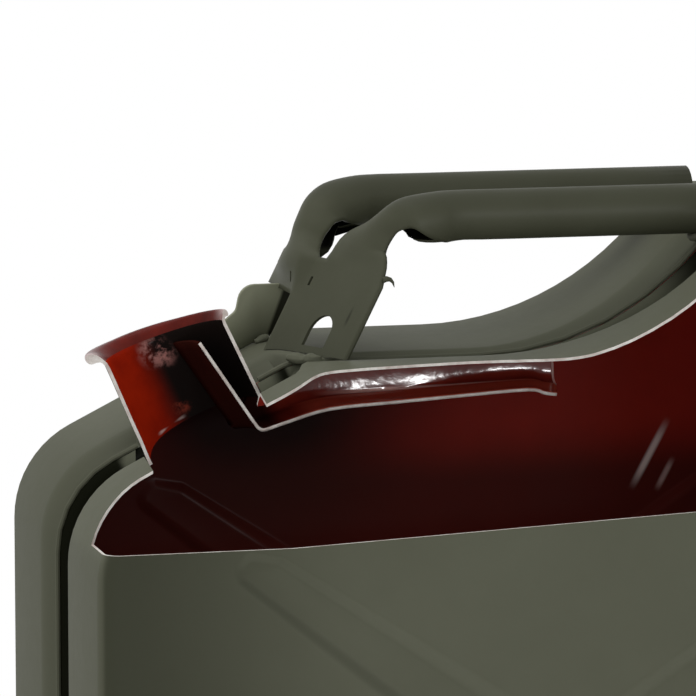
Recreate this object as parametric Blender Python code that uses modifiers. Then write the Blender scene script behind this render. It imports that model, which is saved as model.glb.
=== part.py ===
"""Sectioned steel fuel can, 20 litre pattern: two pressed half shells, a filler neck, a breather duct and handles.

Metres, +Z up. X runs along the wide side, with the filler neck at -X. Y runs across the narrow side. The origin
is on the ground under the middle of the can. The side towards -Y is the cut side.
"""
import math

import bmesh
import bpy
from mathutils import Matrix, Vector

# Body outline, seen from the side
body_width = 0.345
body_depth = 0.165
hump_height = 0.462
hump_rise = 0.0525
shoulder_drop = 0.0444
hump_foot_share = 0.6235
shoulder_angle = math.radians(26.6)
hump_slope_angle = math.radians(52)
base_corner_radius = 0.032
rear_corner_radius = 0.026
hump_lip_radius = 0.014
hump_sweep_radius = 0.113
deck_break_radius = 0.018
shoulder_radius = 0.039
outline_tolerance = 0.00035

# Pressed sheet of the shells
shell_sheet = 0.001
side_edge_radius = 0.006
side_edge_steps = 3
join_gap = 0.0003

# Channel that holds the seam, as half widths and depths from the outer face
channel_depth = 0.0075
channel_floor_half = 0.009
channel_mouth_half = 0.025
deck_channel_depth = 0.0034
deck_channel_floor_half = 0.0035
deck_channel_mouth_half = 0.010
channel_wall_shares = ((0.0, 0.0), (0.22, 0.10), (0.62, 0.78), (0.82, 0.96), (1.0, 1.0))
flange_recess = 0.0026
seam_bead_radius = 0.001
seam_bead_recess = 0.0013

# Pressed cross on the side panels. One quarter of its outline, from its own middle, as shares of half the width
# and of the front's height: top notch, upper side of the tip, corner of the tip, lower side of the tip, waist
cross_middle_share = 0.5615
cross_depth = 0.0036
cross_wall_width = 0.0068
cross_quarter_shares = (
    (0, 0.2153), (0.6151, 0.4002), (0.6928, 0.4081), (0.7368, 0.3821), (0.1159, 0.1386),
)

# Filler neck
neck_outer_diameter = 0.048
neck_wall = 0.0012
neck_lean = math.radians(25.8)
neck_seat_x = 0.0534
neck_below_seat = 0.0072
neck_mouth_rise = 0.0292
neck_mouth_tilt = math.radians(9)
neck_tilt_start = 0.008
neck_lip_front_reach = 0.0044
neck_lip_rear_reach = 0.0018
neck_lip_height = 0.0030
neck_half_steps = 14
neck_hole_gap = 0.0004
neck_bead_radius = 0.0013

# Cut-away of the near shell. Its floor lies below the front's top edge. Its line before the neck is given from the
# front face, and behind the neck by its share of the way from the neck's seat to the hump's foot, with the depth
# from the middle
cut_floor_front_drop = 0.0115
cut_floor_rear_drop = 0.0026
cut_floor_flat_to = 0.070
cut_front_line = ((0.0, 0.0610), (0.0025, 0.0575), (0.0070, 0.0550), (0.0180, 0.0515), (0.0262, 0.0505))
cut_neck_front_x = 0.0305
cut_neck_rear_x = 0.0745
cut_rear_end_share = 1.3271
cut_rear_line_shares = (
    0.0983, 0.1583, 0.2016, 0.2430, 0.2832, 0.3822, 0.5826, 0.6840,
    0.7458, 0.7916, 0.8355, 0.8942, 0.9635, 1.0903, 1.2653, 1.3117,
)
cut_rear_line_depths = (
    0.0450, 0.0452, 0.0425, 0.0378, 0.0340, 0.0298, 0.0245, 0.0250,
    0.0310, 0.0385, 0.0445, 0.0470, 0.0480, 0.0490, 0.0500, 0.0530,
)

# Breather duct: a sheet in the neck that turns back under the deck. Its line is given from the front face and from
# the deck's height
duct_sheet = 0.0010
duct_line = (
    (0.0548, 0.0068), (0.0622, -0.0041), (0.0695, -0.0149), (0.0755, -0.0237), (0.0775, -0.0259),
    (0.0800, -0.0261), (0.0880, -0.0237), (0.1042, -0.0195), (0.1305, -0.0178), (0.1560, -0.0163),
    (0.1799, -0.0151), (0.1865, -0.0166), (0.1912, -0.0173),
)
duct_neck_steps = 4
duct_blend_steps = 3
duct_neck_bulge = 0.0057
duct_floor_half = 0.0185
duct_wall_half = 0.0262
duct_wall_rise = 0.0035
duct_wall_bow = 0.00175
duct_wall_bow_share = 0.45
duct_side_shares = (0.0, 0.36, 0.70, 1.0)

# Handles and their bracket. The bracket's plan at deck height is (x from the front face, y), from its cut edge to
# the far side, and the whole of it leans back as it rises. Its heights are given from the deck
handle_above_hump = 0.008
handle_diameter = 0.0188
handle_sheet = 0.0013
handle_spacing = 0.0595
handle_seam_gap = 0.0012
handle_rear_past_foot = 0.0449
handle_half_steps = 9
bracket_sheet = 0.0016
bracket_plan = ((0.1075, -0.0113), (0.0873, 0.0310), (0.0873, 0.0660))
bracket_lean_share = 0.50
bracket_split_rise = 0.0300
bracket_dig = 0.010
leg_split_depth = 0.0222
leg_gap = 0.0012
wing_depth = 0.0310
wing_low_rise = 0.0195
arch_near = 0.0024
arch_far = 0.0136
arch_low_rise = 0.0027
arch_spring_rise = 0.0080
arch_top_rise = 0.0141
arch_steps = 6
slot_places = ((0.0242, 0.0250), (0.0356, 0.0247))
slot_half_width = 0.0006
slot_half_height = 0.0016

# Front line of each handle as it rolls up from the bracket: place in plan, width of sheet, wrap and slant. The
# heights are shares of the way from the deck to the handles' top
centre_rise_shares = (0.6694, 0.7884, 0.8843, 0.9537, 0.9901)
centre_rolling = (
    ((0.1168, 0.0068), 0.0310, math.radians(60), math.radians(24)),
    ((0.1192, 0.0050), 0.0330, math.radians(150), math.radians(18)),
    ((0.1238, 0.0030), 0.0420, math.radians(215), math.radians(10)),
    ((0.1306, 0.0010), 0.0500, math.radians(275), math.radians(4)),
    ((0.1420, 0.0000), 0.0560, math.radians(330), 0),
)
far_rise_shares = (0.6364, 0.7686, 0.8711, 0.9504, 0.9901)
far_rolling = (
    ((0.1050, 0.0520), 0.0340, math.radians(75), 0),
    ((0.1073, 0.0565), 0.0330, math.radians(155), 0),
    ((0.1103, 0.0585), 0.0420, math.radians(225), 0),
    ((0.1160, 0.0594), 0.0500, math.radians(280), 0),
    ((0.1260, 0.0595), 0.0560, math.radians(330), 0),
)
handle_straight_lead = 0.010

# Hinge ear beside the neck: x from the front face, height from the deck, and rounding
ear_sheet = 0.0024
ear_depth = 0.0510
ear_corners = (
    (0.0778, -0.0145, 0.0), (0.0808, 0.0207, 0.0085), (0.0912, 0.0207, 0.0060), (0.1015, 0.0141, 0.0018),
    (0.0908, -0.0020, 0.0060), (0.0898, -0.0145, 0.0),
)

# Weld beads
weld_radius = 0.0014
weld_sides = 2
weld_point_weight_share = 1
foot_weld_radius = 0.0022
foot_weld_start = -0.0085
foot_weld_end = 0.0035
ear_weld_start_x = 0.0845
ear_weld_end_x = 0.0905
handle_weld_arc = math.radians(140)
handle_weld_steps = 10

# Reach of a cutter past what it cuts
overrun = 0.030

front_x = -body_width / 2
half_depth = body_depth / 2
deck_height = hump_height - hump_rise
front_rise = deck_height - shoulder_drop
hump_foot_x = body_width * hump_foot_share
handle_top_height = hump_height + handle_above_hump
handle_rear_x = hump_foot_x + handle_rear_past_foot
neck_outer_radius = neck_outer_diameter / 2
neck_inner_radius = neck_outer_radius - neck_wall
handle_radius = handle_diameter / 2
handle_axis_height = handle_top_height - handle_radius

for old in list(bpy.data.objects):
    bpy.data.objects.remove(old, do_unlink=True)

can_parts = bpy.data.collections.new("sectioned_fuel_can")
cutters = bpy.data.collections.new("cutters")
bpy.context.scene.collection.children.link(can_parts)
bpy.context.scene.collection.children.link(cutters)


def paint(name, colour, roughness, metallic):
    material = bpy.data.materials.new(name)
    material.use_nodes = True
    shader = material.node_tree.nodes["Principled BSDF"]
    shader.inputs["Base Color"].default_value = (*colour, 1)
    shader.inputs["Roughness"].default_value = roughness
    shader.inputs["Metallic"].default_value = metallic
    material.diffuse_color = (*colour, 1)
    return material


def add_part(name, mesh, material):
    part = bpy.data.objects.new(name, mesh)
    part.data.materials.append(material)
    can_parts.objects.link(part)
    return part


def add_cutter(name, mesh):
    cutter = bpy.data.objects.new(name, mesh)
    cutter.hide_render = True
    cutter.display_type = "WIRE"
    cutters.objects.link(cutter)
    return cutter


def finished_mesh(name, bm):
    mesh = bpy.data.meshes.new(name)
    bm.to_mesh(mesh)
    bm.free()
    return mesh


def cut(part, cutter):
    boolean = part.modifiers.new("cut", "BOOLEAN")
    boolean.operation = "DIFFERENCE"
    boolean.object = cutter
    boolean.solver = "EXACT"


def thicken(part, thickness, offset):
    solidify = part.modifiers.new("sheet", "SOLIDIFY")
    solidify.thickness = thickness
    solidify.offset = offset
    solidify.use_even_offset = True
    solidify.use_quality_normals = True


def round_shading(part, angle):
    part.data.shade_smooth()
    part.data.set_sharp_from_angle(angle=angle)


def loft(rows, closed=False):
    """An open sheet through rows of points, each row joined to the next."""
    bm = bmesh.new()
    grid = [[bm.verts.new(point) for point in row] for row in rows]
    for first, second in zip(grid, grid[1:] + grid[:1] if closed else grid[1:]):
        for a, b, c, d in zip(first, first[1:], second[1:], second):
            bm.faces.new((a, b, c, d))
    return bm


def facing(bm, direction):
    """Turns the faces of an open sheet so that most of them look along a direction."""
    bmesh.ops.recalc_face_normals(bm, faces=bm.faces)
    bm.normal_update()
    total = sum((face.normal * face.calc_area() for face in bm.faces), Vector())
    if total.dot(direction) < 0:
        bmesh.ops.reverse_faces(bm, faces=bm.faces)


def blend(first, second, share):
    return first + (second - first) * share


def smooth_share(share):
    return share * share * (3 - 2 * share)


# Body outline


def outline_corners():
    """The corners of the side view before rounding: x from the front, height, radius and how full the channel is."""
    deck_break_x = (deck_height - front_rise) / math.tan(shoulder_angle)
    hump_lip_x = hump_foot_x + (hump_height - deck_height) / math.tan(hump_slope_angle)
    return (
        (0, 0, base_corner_radius, 1, 1),
        (body_width, 0, base_corner_radius, 1, 1),
        (body_width, hump_height, rear_corner_radius, 1, 1),
        (hump_lip_x, hump_height, hump_lip_radius, 1, 1),
        (hump_foot_x, deck_height, hump_sweep_radius, 1, 0),
        (deck_break_x, deck_height, deck_break_radius, 0, 1),
        (0, front_rise, shoulder_radius, 1, 1),
    )


def rounded_corner(corners, index):
    """Points round one corner: how far round it, where, and which way is left of the outline there."""
    x, z, radius = corners[index][:3]
    here = Vector((x, z))
    if radius == 0:
        return [(0, here, Vector())]
    before = Vector(corners[index - 1][:2])
    after = Vector(corners[(index + 1) % len(corners)][:2])
    way_in = (here - before).normalized()
    way_out = (after - here).normalized()
    turn = math.atan2(way_in.x * way_out.y - way_in.y * way_out.x, way_in.dot(way_out))
    side = math.copysign(1, turn)
    run = radius * math.tan(abs(turn) / 2)
    left = Vector((-way_in.y, way_in.x))
    centre = here - way_in * run + left * radius * side
    widest_step = 2 * math.acos(1 - outline_tolerance / radius)
    steps = max(2, math.ceil(abs(turn) / widest_step))
    points = []
    for step in range(steps + 1):
        inward = Matrix.Rotation(turn * step / steps, 2) @ left
        points.append((step / steps, centre - inward * radius * side, inward))
    return points


def body_outline():
    """Points round the side view, each with its place, its inward direction and its channel share."""
    corners = outline_corners()
    points = []
    for index, (_, _, _, share_in, share_out) in enumerate(corners):
        for share, place, inward in rounded_corner(corners, index):
            points.append((place, inward, share_in + (share_out - share_in) * smooth_share(share)))
    return points


outline = body_outline()


def outer_point(place, inward, inset, y):
    return Vector((front_x + place.x + inward.x * inset, y, place.y + inward.y * inset))


def wall_section(share):
    """Half of the narrow wall: (distance from the middle, inset from the outer face), flange first."""
    depth = deck_channel_depth + (channel_depth - deck_channel_depth) * share
    floor_half = deck_channel_floor_half + (channel_floor_half - deck_channel_floor_half) * share
    mouth_half = deck_channel_mouth_half + (channel_mouth_half - deck_channel_mouth_half) * share
    flange_face = join_gap / 2 + shell_sheet
    section = [(flange_face, flange_recess), (flange_face, depth)]
    for across, up in channel_wall_shares:
        section.append((floor_half + (mouth_half - floor_half) * across, depth * (1 - up)))
    for step in range(side_edge_steps + 1):
        angle = math.pi / 2 * step / side_edge_steps
        reach = half_depth - side_edge_radius * (1 - math.sin(angle))
        section.append((reach, side_edge_radius * (1 - math.cos(angle))))
    return section


def cross_outline():
    """The pressed cross, as (x, height) all the way round."""
    right_up = [Vector((across * body_width / 2, up * front_rise)) for across, up in cross_quarter_shares]
    right_down = [Vector((point.x, -point.y)) for point in reversed(right_up)]
    left_down = [Vector((-point.x, point.y)) for point in reversed(right_down[:-1])]
    left_up = [Vector((-point.x, point.y)) for point in reversed(right_up[1:])]
    return right_up + right_down + left_down + left_up


def make_shell(name, side, material):
    """One pressed half: its narrow walls with the seam channel, and its side panel with the pressed cross."""
    rows = []
    for place, inward, share in outline:
        rows.append([outer_point(place, inward, inset, side * across) for across, inset in wall_section(share)])
    bm = loft(rows, closed=True)
    panel_y = side * half_depth
    rim = [edge for edge in bm.edges if edge.is_boundary
           and all(abs(vert.co.y - panel_y) < outline_tolerance for vert in edge.verts)]
    middle = Vector((0, 0, cross_middle_share * front_rise))
    cross = [bm.verts.new(middle + Vector((point.x, panel_y, point.y))) for point in cross_outline()]
    cross_edges = [bm.edges.new((a, b)) for a, b in zip(cross, cross[1:] + cross[:1])]
    flat = Vector((0, side, 0))
    bmesh.ops.triangle_fill(bm, edges=rim + cross_edges, use_beauty=True, normal=flat)
    filled = bmesh.ops.triangle_fill(bm, edges=cross_edges, use_beauty=True, normal=flat)
    cross_faces = [item for item in filled["geom"] if isinstance(item, bmesh.types.BMFace)]
    facing_out(bm, side)
    bmesh.ops.inset_region(
        bm, faces=cross_faces, thickness=cross_wall_width, depth=-cross_depth, use_even_offset=True,
        use_boundary=False,
    )
    shell = add_part(name, finished_mesh(name, bm), material)
    thicken(shell, shell_sheet, -1)
    round_shading(shell, math.radians(35))
    return shell


def facing_out(bm, side):
    """Turns a half shell's faces outwards, judged by its side panel."""
    bmesh.ops.recalc_face_normals(bm, faces=bm.faces)
    bm.normal_update()
    panel = max(bm.faces, key=lambda face: face.calc_area() * abs(face.normal.y))
    if panel.normal.y * side < 0:
        bmesh.ops.reverse_faces(bm, faces=bm.faces)


def body_envelope():
    """The side view grown by the joining gap and drawn right across: it trims whatever stands on the can."""
    bm = bmesh.new()
    reach = half_depth + overrun
    face = bm.faces.new([bm.verts.new(outer_point(place, inward, -join_gap, -reach)) for place, inward, _ in outline])
    swept = bmesh.ops.extrude_face_region(bm, geom=[face])
    moved = [item for item in swept["geom"] if isinstance(item, bmesh.types.BMVert)]
    bmesh.ops.translate(bm, vec=(0, 2 * reach, 0), verts=moved)
    bmesh.ops.recalc_face_normals(bm, faces=bm.faces)
    return add_cutter("body_envelope", finished_mesh("body_envelope", bm))


# Neck frame: along runs up the neck's axis, across runs rearwards, both square to Y

neck_seat_height = front_rise + neck_seat_x * math.tan(shoulder_angle)
neck_along = Vector((-math.sin(neck_lean), 0, math.cos(neck_lean)))
neck_across = Vector((math.cos(neck_lean), 0, math.sin(neck_lean)))
neck_seat = Vector((front_x + neck_seat_x, 0, neck_seat_height))


def neck_point(across, y, along):
    return neck_seat + neck_across * across + Vector((0, y, 0)) + neck_along * along


def neck_profile(front_share):
    """The neck's wall with its rolled lip, as (radius, height above the seat), closed."""
    outer, inner = neck_outer_radius, neck_inner_radius
    lip_tip = outer + neck_lip_rear_reach + (neck_lip_front_reach - neck_lip_rear_reach) * front_share
    curl = neck_lip_height / 2
    return (
        (outer, -neck_below_seat),
        (outer, neck_tilt_start),
        (outer, neck_mouth_rise - neck_lip_height),
        (outer + curl, neck_mouth_rise - curl),
        (lip_tip, neck_mouth_rise - neck_lip_height),
        (lip_tip + neck_wall, neck_mouth_rise - curl),
        (lip_tip - neck_wall / 2, neck_mouth_rise + neck_wall / 2),
        (outer + neck_wall / 2, neck_mouth_rise + neck_wall),
        (inner, neck_mouth_rise - curl),
        (inner, neck_tilt_start),
        (inner, -neck_below_seat),
    )


def tilted(radius, angle, along):
    """A point of the neck at an angle from the rear, with the mouth's tilt growing from the seat up."""
    share = max(0, (along - neck_tilt_start) / (neck_mouth_rise - neck_tilt_start))
    across = radius * math.cos(angle)
    rise = -across * math.tan(neck_mouth_tilt) * share
    return neck_point(across, radius * math.sin(angle), along + rise)


def make_neck(material):
    """The far half of the neck: its profile turned through half a circle, with the mouth tilted."""
    bm = bmesh.new()
    rings = []
    for step in range(neck_half_steps + 1):
        angle = math.pi * step / neck_half_steps
        profile = neck_profile((1 - math.cos(angle)) / 2)
        rings.append([bm.verts.new(tilted(radius, angle, along)) for radius, along in profile])
    for first, second in zip(rings, rings[1:]):
        for a, b, c, d in zip(first, first[1:] + first[:1], second[1:] + second[:1], second):
            bm.faces.new((a, b, c, d))
    bm.faces.new(rings[0])
    bm.faces.new(rings[-1])
    bmesh.ops.recalc_face_normals(bm, faces=bm.faces)
    neck = add_part("filler_neck", finished_mesh("filler_neck", bm), material)
    round_shading(neck, math.radians(40))
    return neck


def neck_hole():
    """A leaning cylinder, a little wider than the neck, that opens the shell for it."""
    bm = bmesh.new()
    length = neck_below_seat + neck_mouth_rise + overrun
    matrix = Matrix.Translation(neck_seat) @ Matrix.Rotation(-neck_lean, 4, "Y")
    bmesh.ops.create_cone(
        bm, cap_ends=True, segments=4 * neck_half_steps, radius1=neck_outer_radius + neck_hole_gap,
        radius2=neck_outer_radius + neck_hole_gap, depth=2 * length, matrix=matrix,
    )
    return add_cutter("neck_hole", finished_mesh("neck_hole", bm))


def channel_inset(across, share):
    """How far the narrow wall's outer face lies below the outline at a distance from the middle."""
    section = wall_section(share)[1:-side_edge_steps]
    for (first, inset), (second, next_inset) in zip(section, section[1:]):
        if first <= across <= second:
            return inset + (next_inset - inset) * (across - first) / (second - first)
    return section[0][1] if across < section[0][0] else 0


def bead(name, points, radius, material, cyclic=False):
    """A weld bead along points, as a mesh with its end caps joined."""
    curve = bpy.data.curves.new(name, "CURVE")
    curve.dimensions = "3D"
    curve.bevel_depth = radius
    curve.bevel_resolution = weld_sides
    curve.use_fill_caps = not cyclic
    spline = curve.splines.new("POLY")
    spline.points.add(len(points) - 1)
    for target, point in zip(spline.points, points):
        target.co = (*point, weld_point_weight_share)
    spline.use_cyclic_u = cyclic
    return curve_part(name, curve, Matrix.Identity(4), material)


def curve_part(name, curve, matrix, material):
    """Makes a curve into a mesh part, its caps joined to its sides."""
    holder = bpy.data.objects.new(name + "_curve", curve)
    holder.matrix_world = matrix
    bpy.context.scene.collection.objects.link(holder)
    bpy.context.view_layer.update()
    evaluated = holder.evaluated_get(bpy.context.evaluated_depsgraph_get())
    mesh = bpy.data.meshes.new_from_object(evaluated)
    bm = bmesh.new()
    bm.from_mesh(mesh)
    bmesh.ops.remove_doubles(bm, verts=bm.verts, dist=join_gap / 10)
    bm.to_mesh(mesh)
    bm.free()
    mesh.materials.clear()
    part = add_part(name, mesh, material)
    part.matrix_world = holder.matrix_world.copy()
    bpy.data.objects.remove(holder, do_unlink=True)
    return part


def make_neck_bead(material):
    """The brazed ring in the corner between the neck and the far shell."""
    points = []
    ring = neck_outer_radius + neck_hole_gap + neck_bead_radius
    for step in range(1, 2 * neck_half_steps):
        angle = math.pi * step / (2 * neck_half_steps)
        across, y = -ring * math.cos(angle), ring * math.sin(angle)
        lift = neck_bead_radius + join_gap - channel_inset(y + neck_bead_radius, 1)
        points.append(neck_point(across, y, lift + across * math.tan(shoulder_angle - neck_lean)))
    return bead("neck_weld", points, neck_bead_radius, material)


def make_seam_bead(material):
    """The weld along the tops of the two flanges, from behind the neck round the can to its front."""
    clear = neck_outer_radius + neck_hole_gap + seam_bead_radius
    seat = Vector((neck_seat_x, neck_seat_height))
    slope = Vector((math.cos(shoulder_angle), math.sin(shoulder_angle)))
    points = []
    for place, inward, _ in outline:
        points.append(outer_point(place, inward, seam_bead_recess, 0))
    down = Vector((slope.y, -slope.x)) * seam_bead_recess
    rear_end = seat + slope * clear + down
    front_end = seat - slope * clear + down
    shoulder_last = max(index for index, (place, _, _) in enumerate(outline) if place.x > neck_seat_x
                        and place.y > neck_seat_height)
    ordered = points[shoulder_last + 1:] + points[:shoulder_last + 1]
    start = Vector((front_x + front_end.x, 0, front_end.y))
    end = Vector((front_x + rear_end.x, 0, rear_end.y))
    return bead("seam_weld", [start] + ordered + [end], seam_bead_radius, material)


# Cut-away of the near shell


def cut_floor(x):
    """Height of the lower edge of the cut-away at a distance from the front face."""
    share = max(0, (x - cut_floor_flat_to) / (cut_place(cut_rear_end_share) - cut_floor_flat_to))
    return front_rise - cut_floor_front_drop + (cut_floor_front_drop - cut_floor_rear_drop) * share


def cut_place(share):
    """Distance from the front face of a share of the way from the neck's seat to the hump's foot."""
    return neck_seat_x + (hump_foot_x - neck_seat_x) * share


def cut_away():
    """Everything of the near shell outside the cut line and above its lower edge."""
    plan = [Vector((x, -depth)) for x, depth in cut_front_line]
    plan += [Vector((cut_neck_front_x, 0)), Vector((cut_neck_rear_x, 0))]
    plan += [Vector((cut_place(share), -depth)) for share, depth in zip(cut_rear_line_shares, cut_rear_line_depths)]
    outside = -(half_depth + overrun)
    rear = cut_place(cut_rear_end_share)
    plan += [Vector((rear, -half_depth)), Vector((rear, outside))]
    plan += [Vector((cut_floor_flat_to, outside)), Vector((-overrun, outside)), Vector((-overrun, plan[0].y))]
    bm = bmesh.new()
    top = handle_top_height + overrun
    base = bm.faces.new([bm.verts.new((front_x + point.x, point.y, cut_floor(point.x))) for point in plan])
    swept = bmesh.ops.extrude_face_region(bm, geom=[base])
    for item in swept["geom"]:
        if isinstance(item, bmesh.types.BMVert):
            item.co.z = top
    bmesh.ops.triangulate(bm, faces=bm.faces)
    bmesh.ops.recalc_face_normals(bm, faces=bm.faces)
    return add_cutter("cut_away", finished_mesh("cut_away", bm))


# Breather duct


def roof_height(x):
    """Height of the shell's underside over the duct's walls at a distance from the front face."""
    deck_break_x = (deck_height - front_rise) / math.tan(shoulder_angle)
    outer = min(deck_height, front_rise + x * math.tan(shoulder_angle))
    if x > hump_foot_x:
        outer = deck_height
    lean = shoulder_angle if x < deck_break_x else 0
    return outer - (shell_sheet + join_gap) / math.cos(lean) - duct_sheet / 2


def duct_rows():
    """Half sections of the duct from its mouth in the neck to its open rear end."""
    rows = []
    count = len(duct_line)
    limit = neck_inner_radius - join_gap - duct_sheet
    for index, (x, rise) in enumerate(duct_line):
        row = []
        place = Vector((front_x + x, 0, deck_height + rise))
        share = min(1, max(0, (index - duct_neck_steps + 1) / duct_blend_steps))
        before = Vector(duct_line[max(0, index - 1)])
        after = Vector(duct_line[min(count - 1, index + 1)])
        way = (after - before).normalized()
        up = Vector((-way.y, 0, way.x))
        local = place - neck_seat
        across = local.dot(neck_across)
        edge_across = across - duct_neck_bulge
        neck_half = math.sqrt(max(0, limit ** 2 - min(abs(edge_across), limit) ** 2))
        roof = roof_height(x)
        for side_share in duct_side_shares:
            in_neck = place + Vector((0, neck_half * side_share, 0)) - neck_across * duct_neck_bulge * side_share ** 2
            lift = duct_wall_rise * max(0, side_share - duct_side_shares[1]) / (1 - duct_side_shares[1])
            flat = place + Vector((0, duct_floor_half * side_share, 0)) + up * lift
            row.append(blend(in_neck, flat, smooth_share(share)))
        last = row[-1]
        wall_top = Vector((last.x, duct_wall_half, roof))
        wall_mid = blend(last, wall_top, duct_wall_bow_share) + Vector((0, duct_wall_bow, -duct_wall_bow))
        row.append(blend(last, wall_mid, smooth_share(share)))
        row.append(blend(last, wall_top, smooth_share(share)))
        rows.append(row)
    return rows


def make_duct(material):
    bm = loft(duct_rows())
    bmesh.ops.remove_doubles(bm, verts=bm.verts, dist=join_gap / 10)
    facing(bm, Vector((0, -1, 1)))
    duct = add_part("breather_duct", finished_mesh("breather_duct", bm), material)
    thicken(duct, duct_sheet, 0)
    round_shading(duct, math.radians(40))
    return duct


# Handles and bracket


def bracket_point(y, z):
    """The middle of the bracket's sheet at a distance from the can's middle and a height."""
    for (first_x, first_y), (second_x, second_y) in zip(bracket_plan, bracket_plan[1:]):
        if y <= second_y:
            break
    share = (y - first_y) / (second_y - first_y)
    return Vector((front_x + first_x + (second_x - first_x) * share + bracket_lean_share * (z - deck_height), y, z))


def handle_rows(middle, leg_near, leg_far, rise_shares, rolling):
    """A strip that starts flat on the bracket and rolls into a tube, as rows from the bracket to the rear end."""
    count = 2 * handle_half_steps
    shares = [index / count for index in range(count + 1)]
    start = deck_height + bracket_split_rise + join_gap
    rows = [[bracket_point(leg_near + (leg_far - leg_near) * share, start) for share in shares]]
    ring = handle_radius - handle_sheet / 2
    full = 2 * math.pi - 2 * handle_seam_gap / handle_diameter
    top = handle_axis_height + ring
    tube_start = rolling[-1][0][0] + handle_straight_lead
    stations = []
    for rise_share, ((x, y), width, wrap, slant) in zip(rise_shares, rolling):
        z = deck_height + (handle_top_height - deck_height) * rise_share - handle_sheet / 2
        stations.append((Vector((front_x + x, y, z)), width, wrap, slant))
    for x in (tube_start, handle_rear_x):
        stations.append((Vector((front_x + x, middle, top)), ring * full, full, 0))
    places = [rows[0][handle_half_steps]] + [place for place, _, _, _ in stations]
    places.append(places[-1] + (places[-1] - places[-2]))
    for index, (place, width, wrap, slant) in enumerate(stations, start=1):
        way = places[index + 1] - places[index - 1]
        if index >= len(rolling) + 1:
            way = Vector((1, 0, 0))
        way = Vector((way.x, 0, way.z)).normalized()
        below = Vector((way.z, 0, -way.x))
        across = Vector((0, math.cos(slant), 0)) - below * math.sin(slant)
        inward = below * math.cos(slant) + Vector((0, math.sin(slant), 0))
        radius = width / wrap
        row = []
        for share in shares:
            turn = wrap * (share - 1 / 2)
            row.append(place + across * radius * math.sin(turn) + inward * radius * (1 - math.cos(turn)))
        rows.append(row)
    return rows


def make_handle(name, middle, leg_near, leg_far, rise_shares, rolling, envelope, material):
    bm = loft(handle_rows(middle, leg_near, leg_far, rise_shares, rolling))
    bm.normal_update()
    top = max(bm.faces, key=lambda face: face.calc_center_median().z)
    if top.normal.z < 0:
        bmesh.ops.reverse_faces(bm, faces=bm.faces)
    handle = add_part(name, finished_mesh(name, bm), material)
    thicken(handle, handle_sheet, 0)
    cut(handle, envelope)
    round_shading(handle, math.radians(50))
    return handle


def arch_outline():
    """The hole at the bracket's foot, as (distance from the middle, height)."""
    middle = (arch_near + arch_far) / 2
    half = (arch_far - arch_near) / 2
    low = deck_height + arch_low_rise
    spring = deck_height + arch_spring_rise
    points = [(arch_near, low)]
    for step in range(arch_steps + 1):
        angle = math.pi * (1 - step / arch_steps)
        points.append((middle + half * math.cos(angle), spring + (arch_top_rise - arch_spring_rise) * math.sin(angle)))
    points.append((arch_far, low))
    return points


def slot_outline(y, rise):
    wide, tall = slot_half_width, slot_half_height
    z = deck_height + rise
    return [(y - wide, z - tall), (y - wide, z + tall), (y + wide, z + tall), (y + wide, z - tall)]


def make_bracket(envelope, material):
    """The folded plate that carries the handles, with its arch and slots: two leaves that share the fold."""
    low = deck_height - bracket_dig
    high = deck_height + bracket_split_rise
    wing_low = deck_height + wing_low_rise
    near = bracket_plan[0][1]
    far = bracket_plan[-1][1]
    fold_low = (wing_depth, low)
    fold_mid = (wing_depth, wing_low)
    fold_top = (wing_depth, high)
    slanted = [(near, low), (near, high), fold_top, fold_mid, fold_low]
    wing = [fold_mid, fold_top, (far, high), (far, wing_low)]
    slots = [slot_outline(y, rise) for y, rise in slot_places]
    leaves = [
        (slanted, [arch_outline()] + [slot for slot in slots if slot[0][0] < wing_depth]),
        (wing, [slot for slot in slots if slot[0][0] > wing_depth]),
    ]
    bm = bmesh.new()
    for border, holes in leaves:
        edges = []
        for loop in [border] + holes:
            verts = [bm.verts.new(bracket_point(y, z)) for y, z in loop]
            edges += [bm.edges.new(pair) for pair in zip(verts, verts[1:] + verts[:1])]
        bmesh.ops.triangle_fill(bm, edges=edges, use_beauty=True)
    bmesh.ops.remove_doubles(bm, verts=bm.verts, dist=join_gap / 10)
    facing(bm, Vector((-1, 0, 0)))
    bracket = add_part("handle_bracket", finished_mesh("handle_bracket", bm), material)
    thicken(bracket, bracket_sheet, 0)
    cut(bracket, envelope)
    return bracket


def make_ear(envelope, material):
    """The upright lug beside the neck, a flat outline in the plane of the side view."""
    corners = [(x, deck_height + rise, radius) for x, rise, radius in ear_corners]
    shape = [place for index in range(len(corners)) for _, place, _ in rounded_corner(corners, index)]
    curve = bpy.data.curves.new("far_hinge_ear", "CURVE")
    curve.dimensions = "2D"
    curve.fill_mode = "BOTH"
    curve.extrude = ear_sheet / 2
    spline = curve.splines.new("POLY")
    spline.points.add(len(shape) - 1)
    for target, (x, z) in zip(spline.points, shape):
        target.co = (x, z, 0, 1)
    spline.use_cyclic_u = True
    upright = Matrix.Translation((front_x, ear_depth, 0)) @ Matrix.Rotation(math.pi / 2, 4, "X")
    ear = curve_part("far_hinge_ear", curve, upright, material)
    cut(ear, envelope)
    return ear


def top_height(x):
    """Height of the outline's upper side at a distance from the front face."""
    best = 0
    for (first, _, _), (second, _, _) in zip(outline, outline[1:] + outline[:1]):
        low, high = sorted((first.x, second.x))
        if high - low > outline_tolerance and low <= x <= high:
            best = max(best, first.y + (second.y - first.y) * (x - first.x) / (second.x - first.x))
    return best


def make_foot_weld(material):
    """The lump in front of the bracket's foot, across the seam."""
    points = []
    for y in (foot_weld_start, (foot_weld_start + foot_weld_end) / 2, foot_weld_end):
        foot = bracket_point(y, deck_height)
        ahead = foot.x - bracket_sheet - foot_weld_radius - join_gap
        rest = top_height(ahead - front_x)
        points.append(Vector((ahead, y, rest + foot_weld_radius + join_gap)))
    return bead("bracket_foot_weld", points, foot_weld_radius, material)


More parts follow.
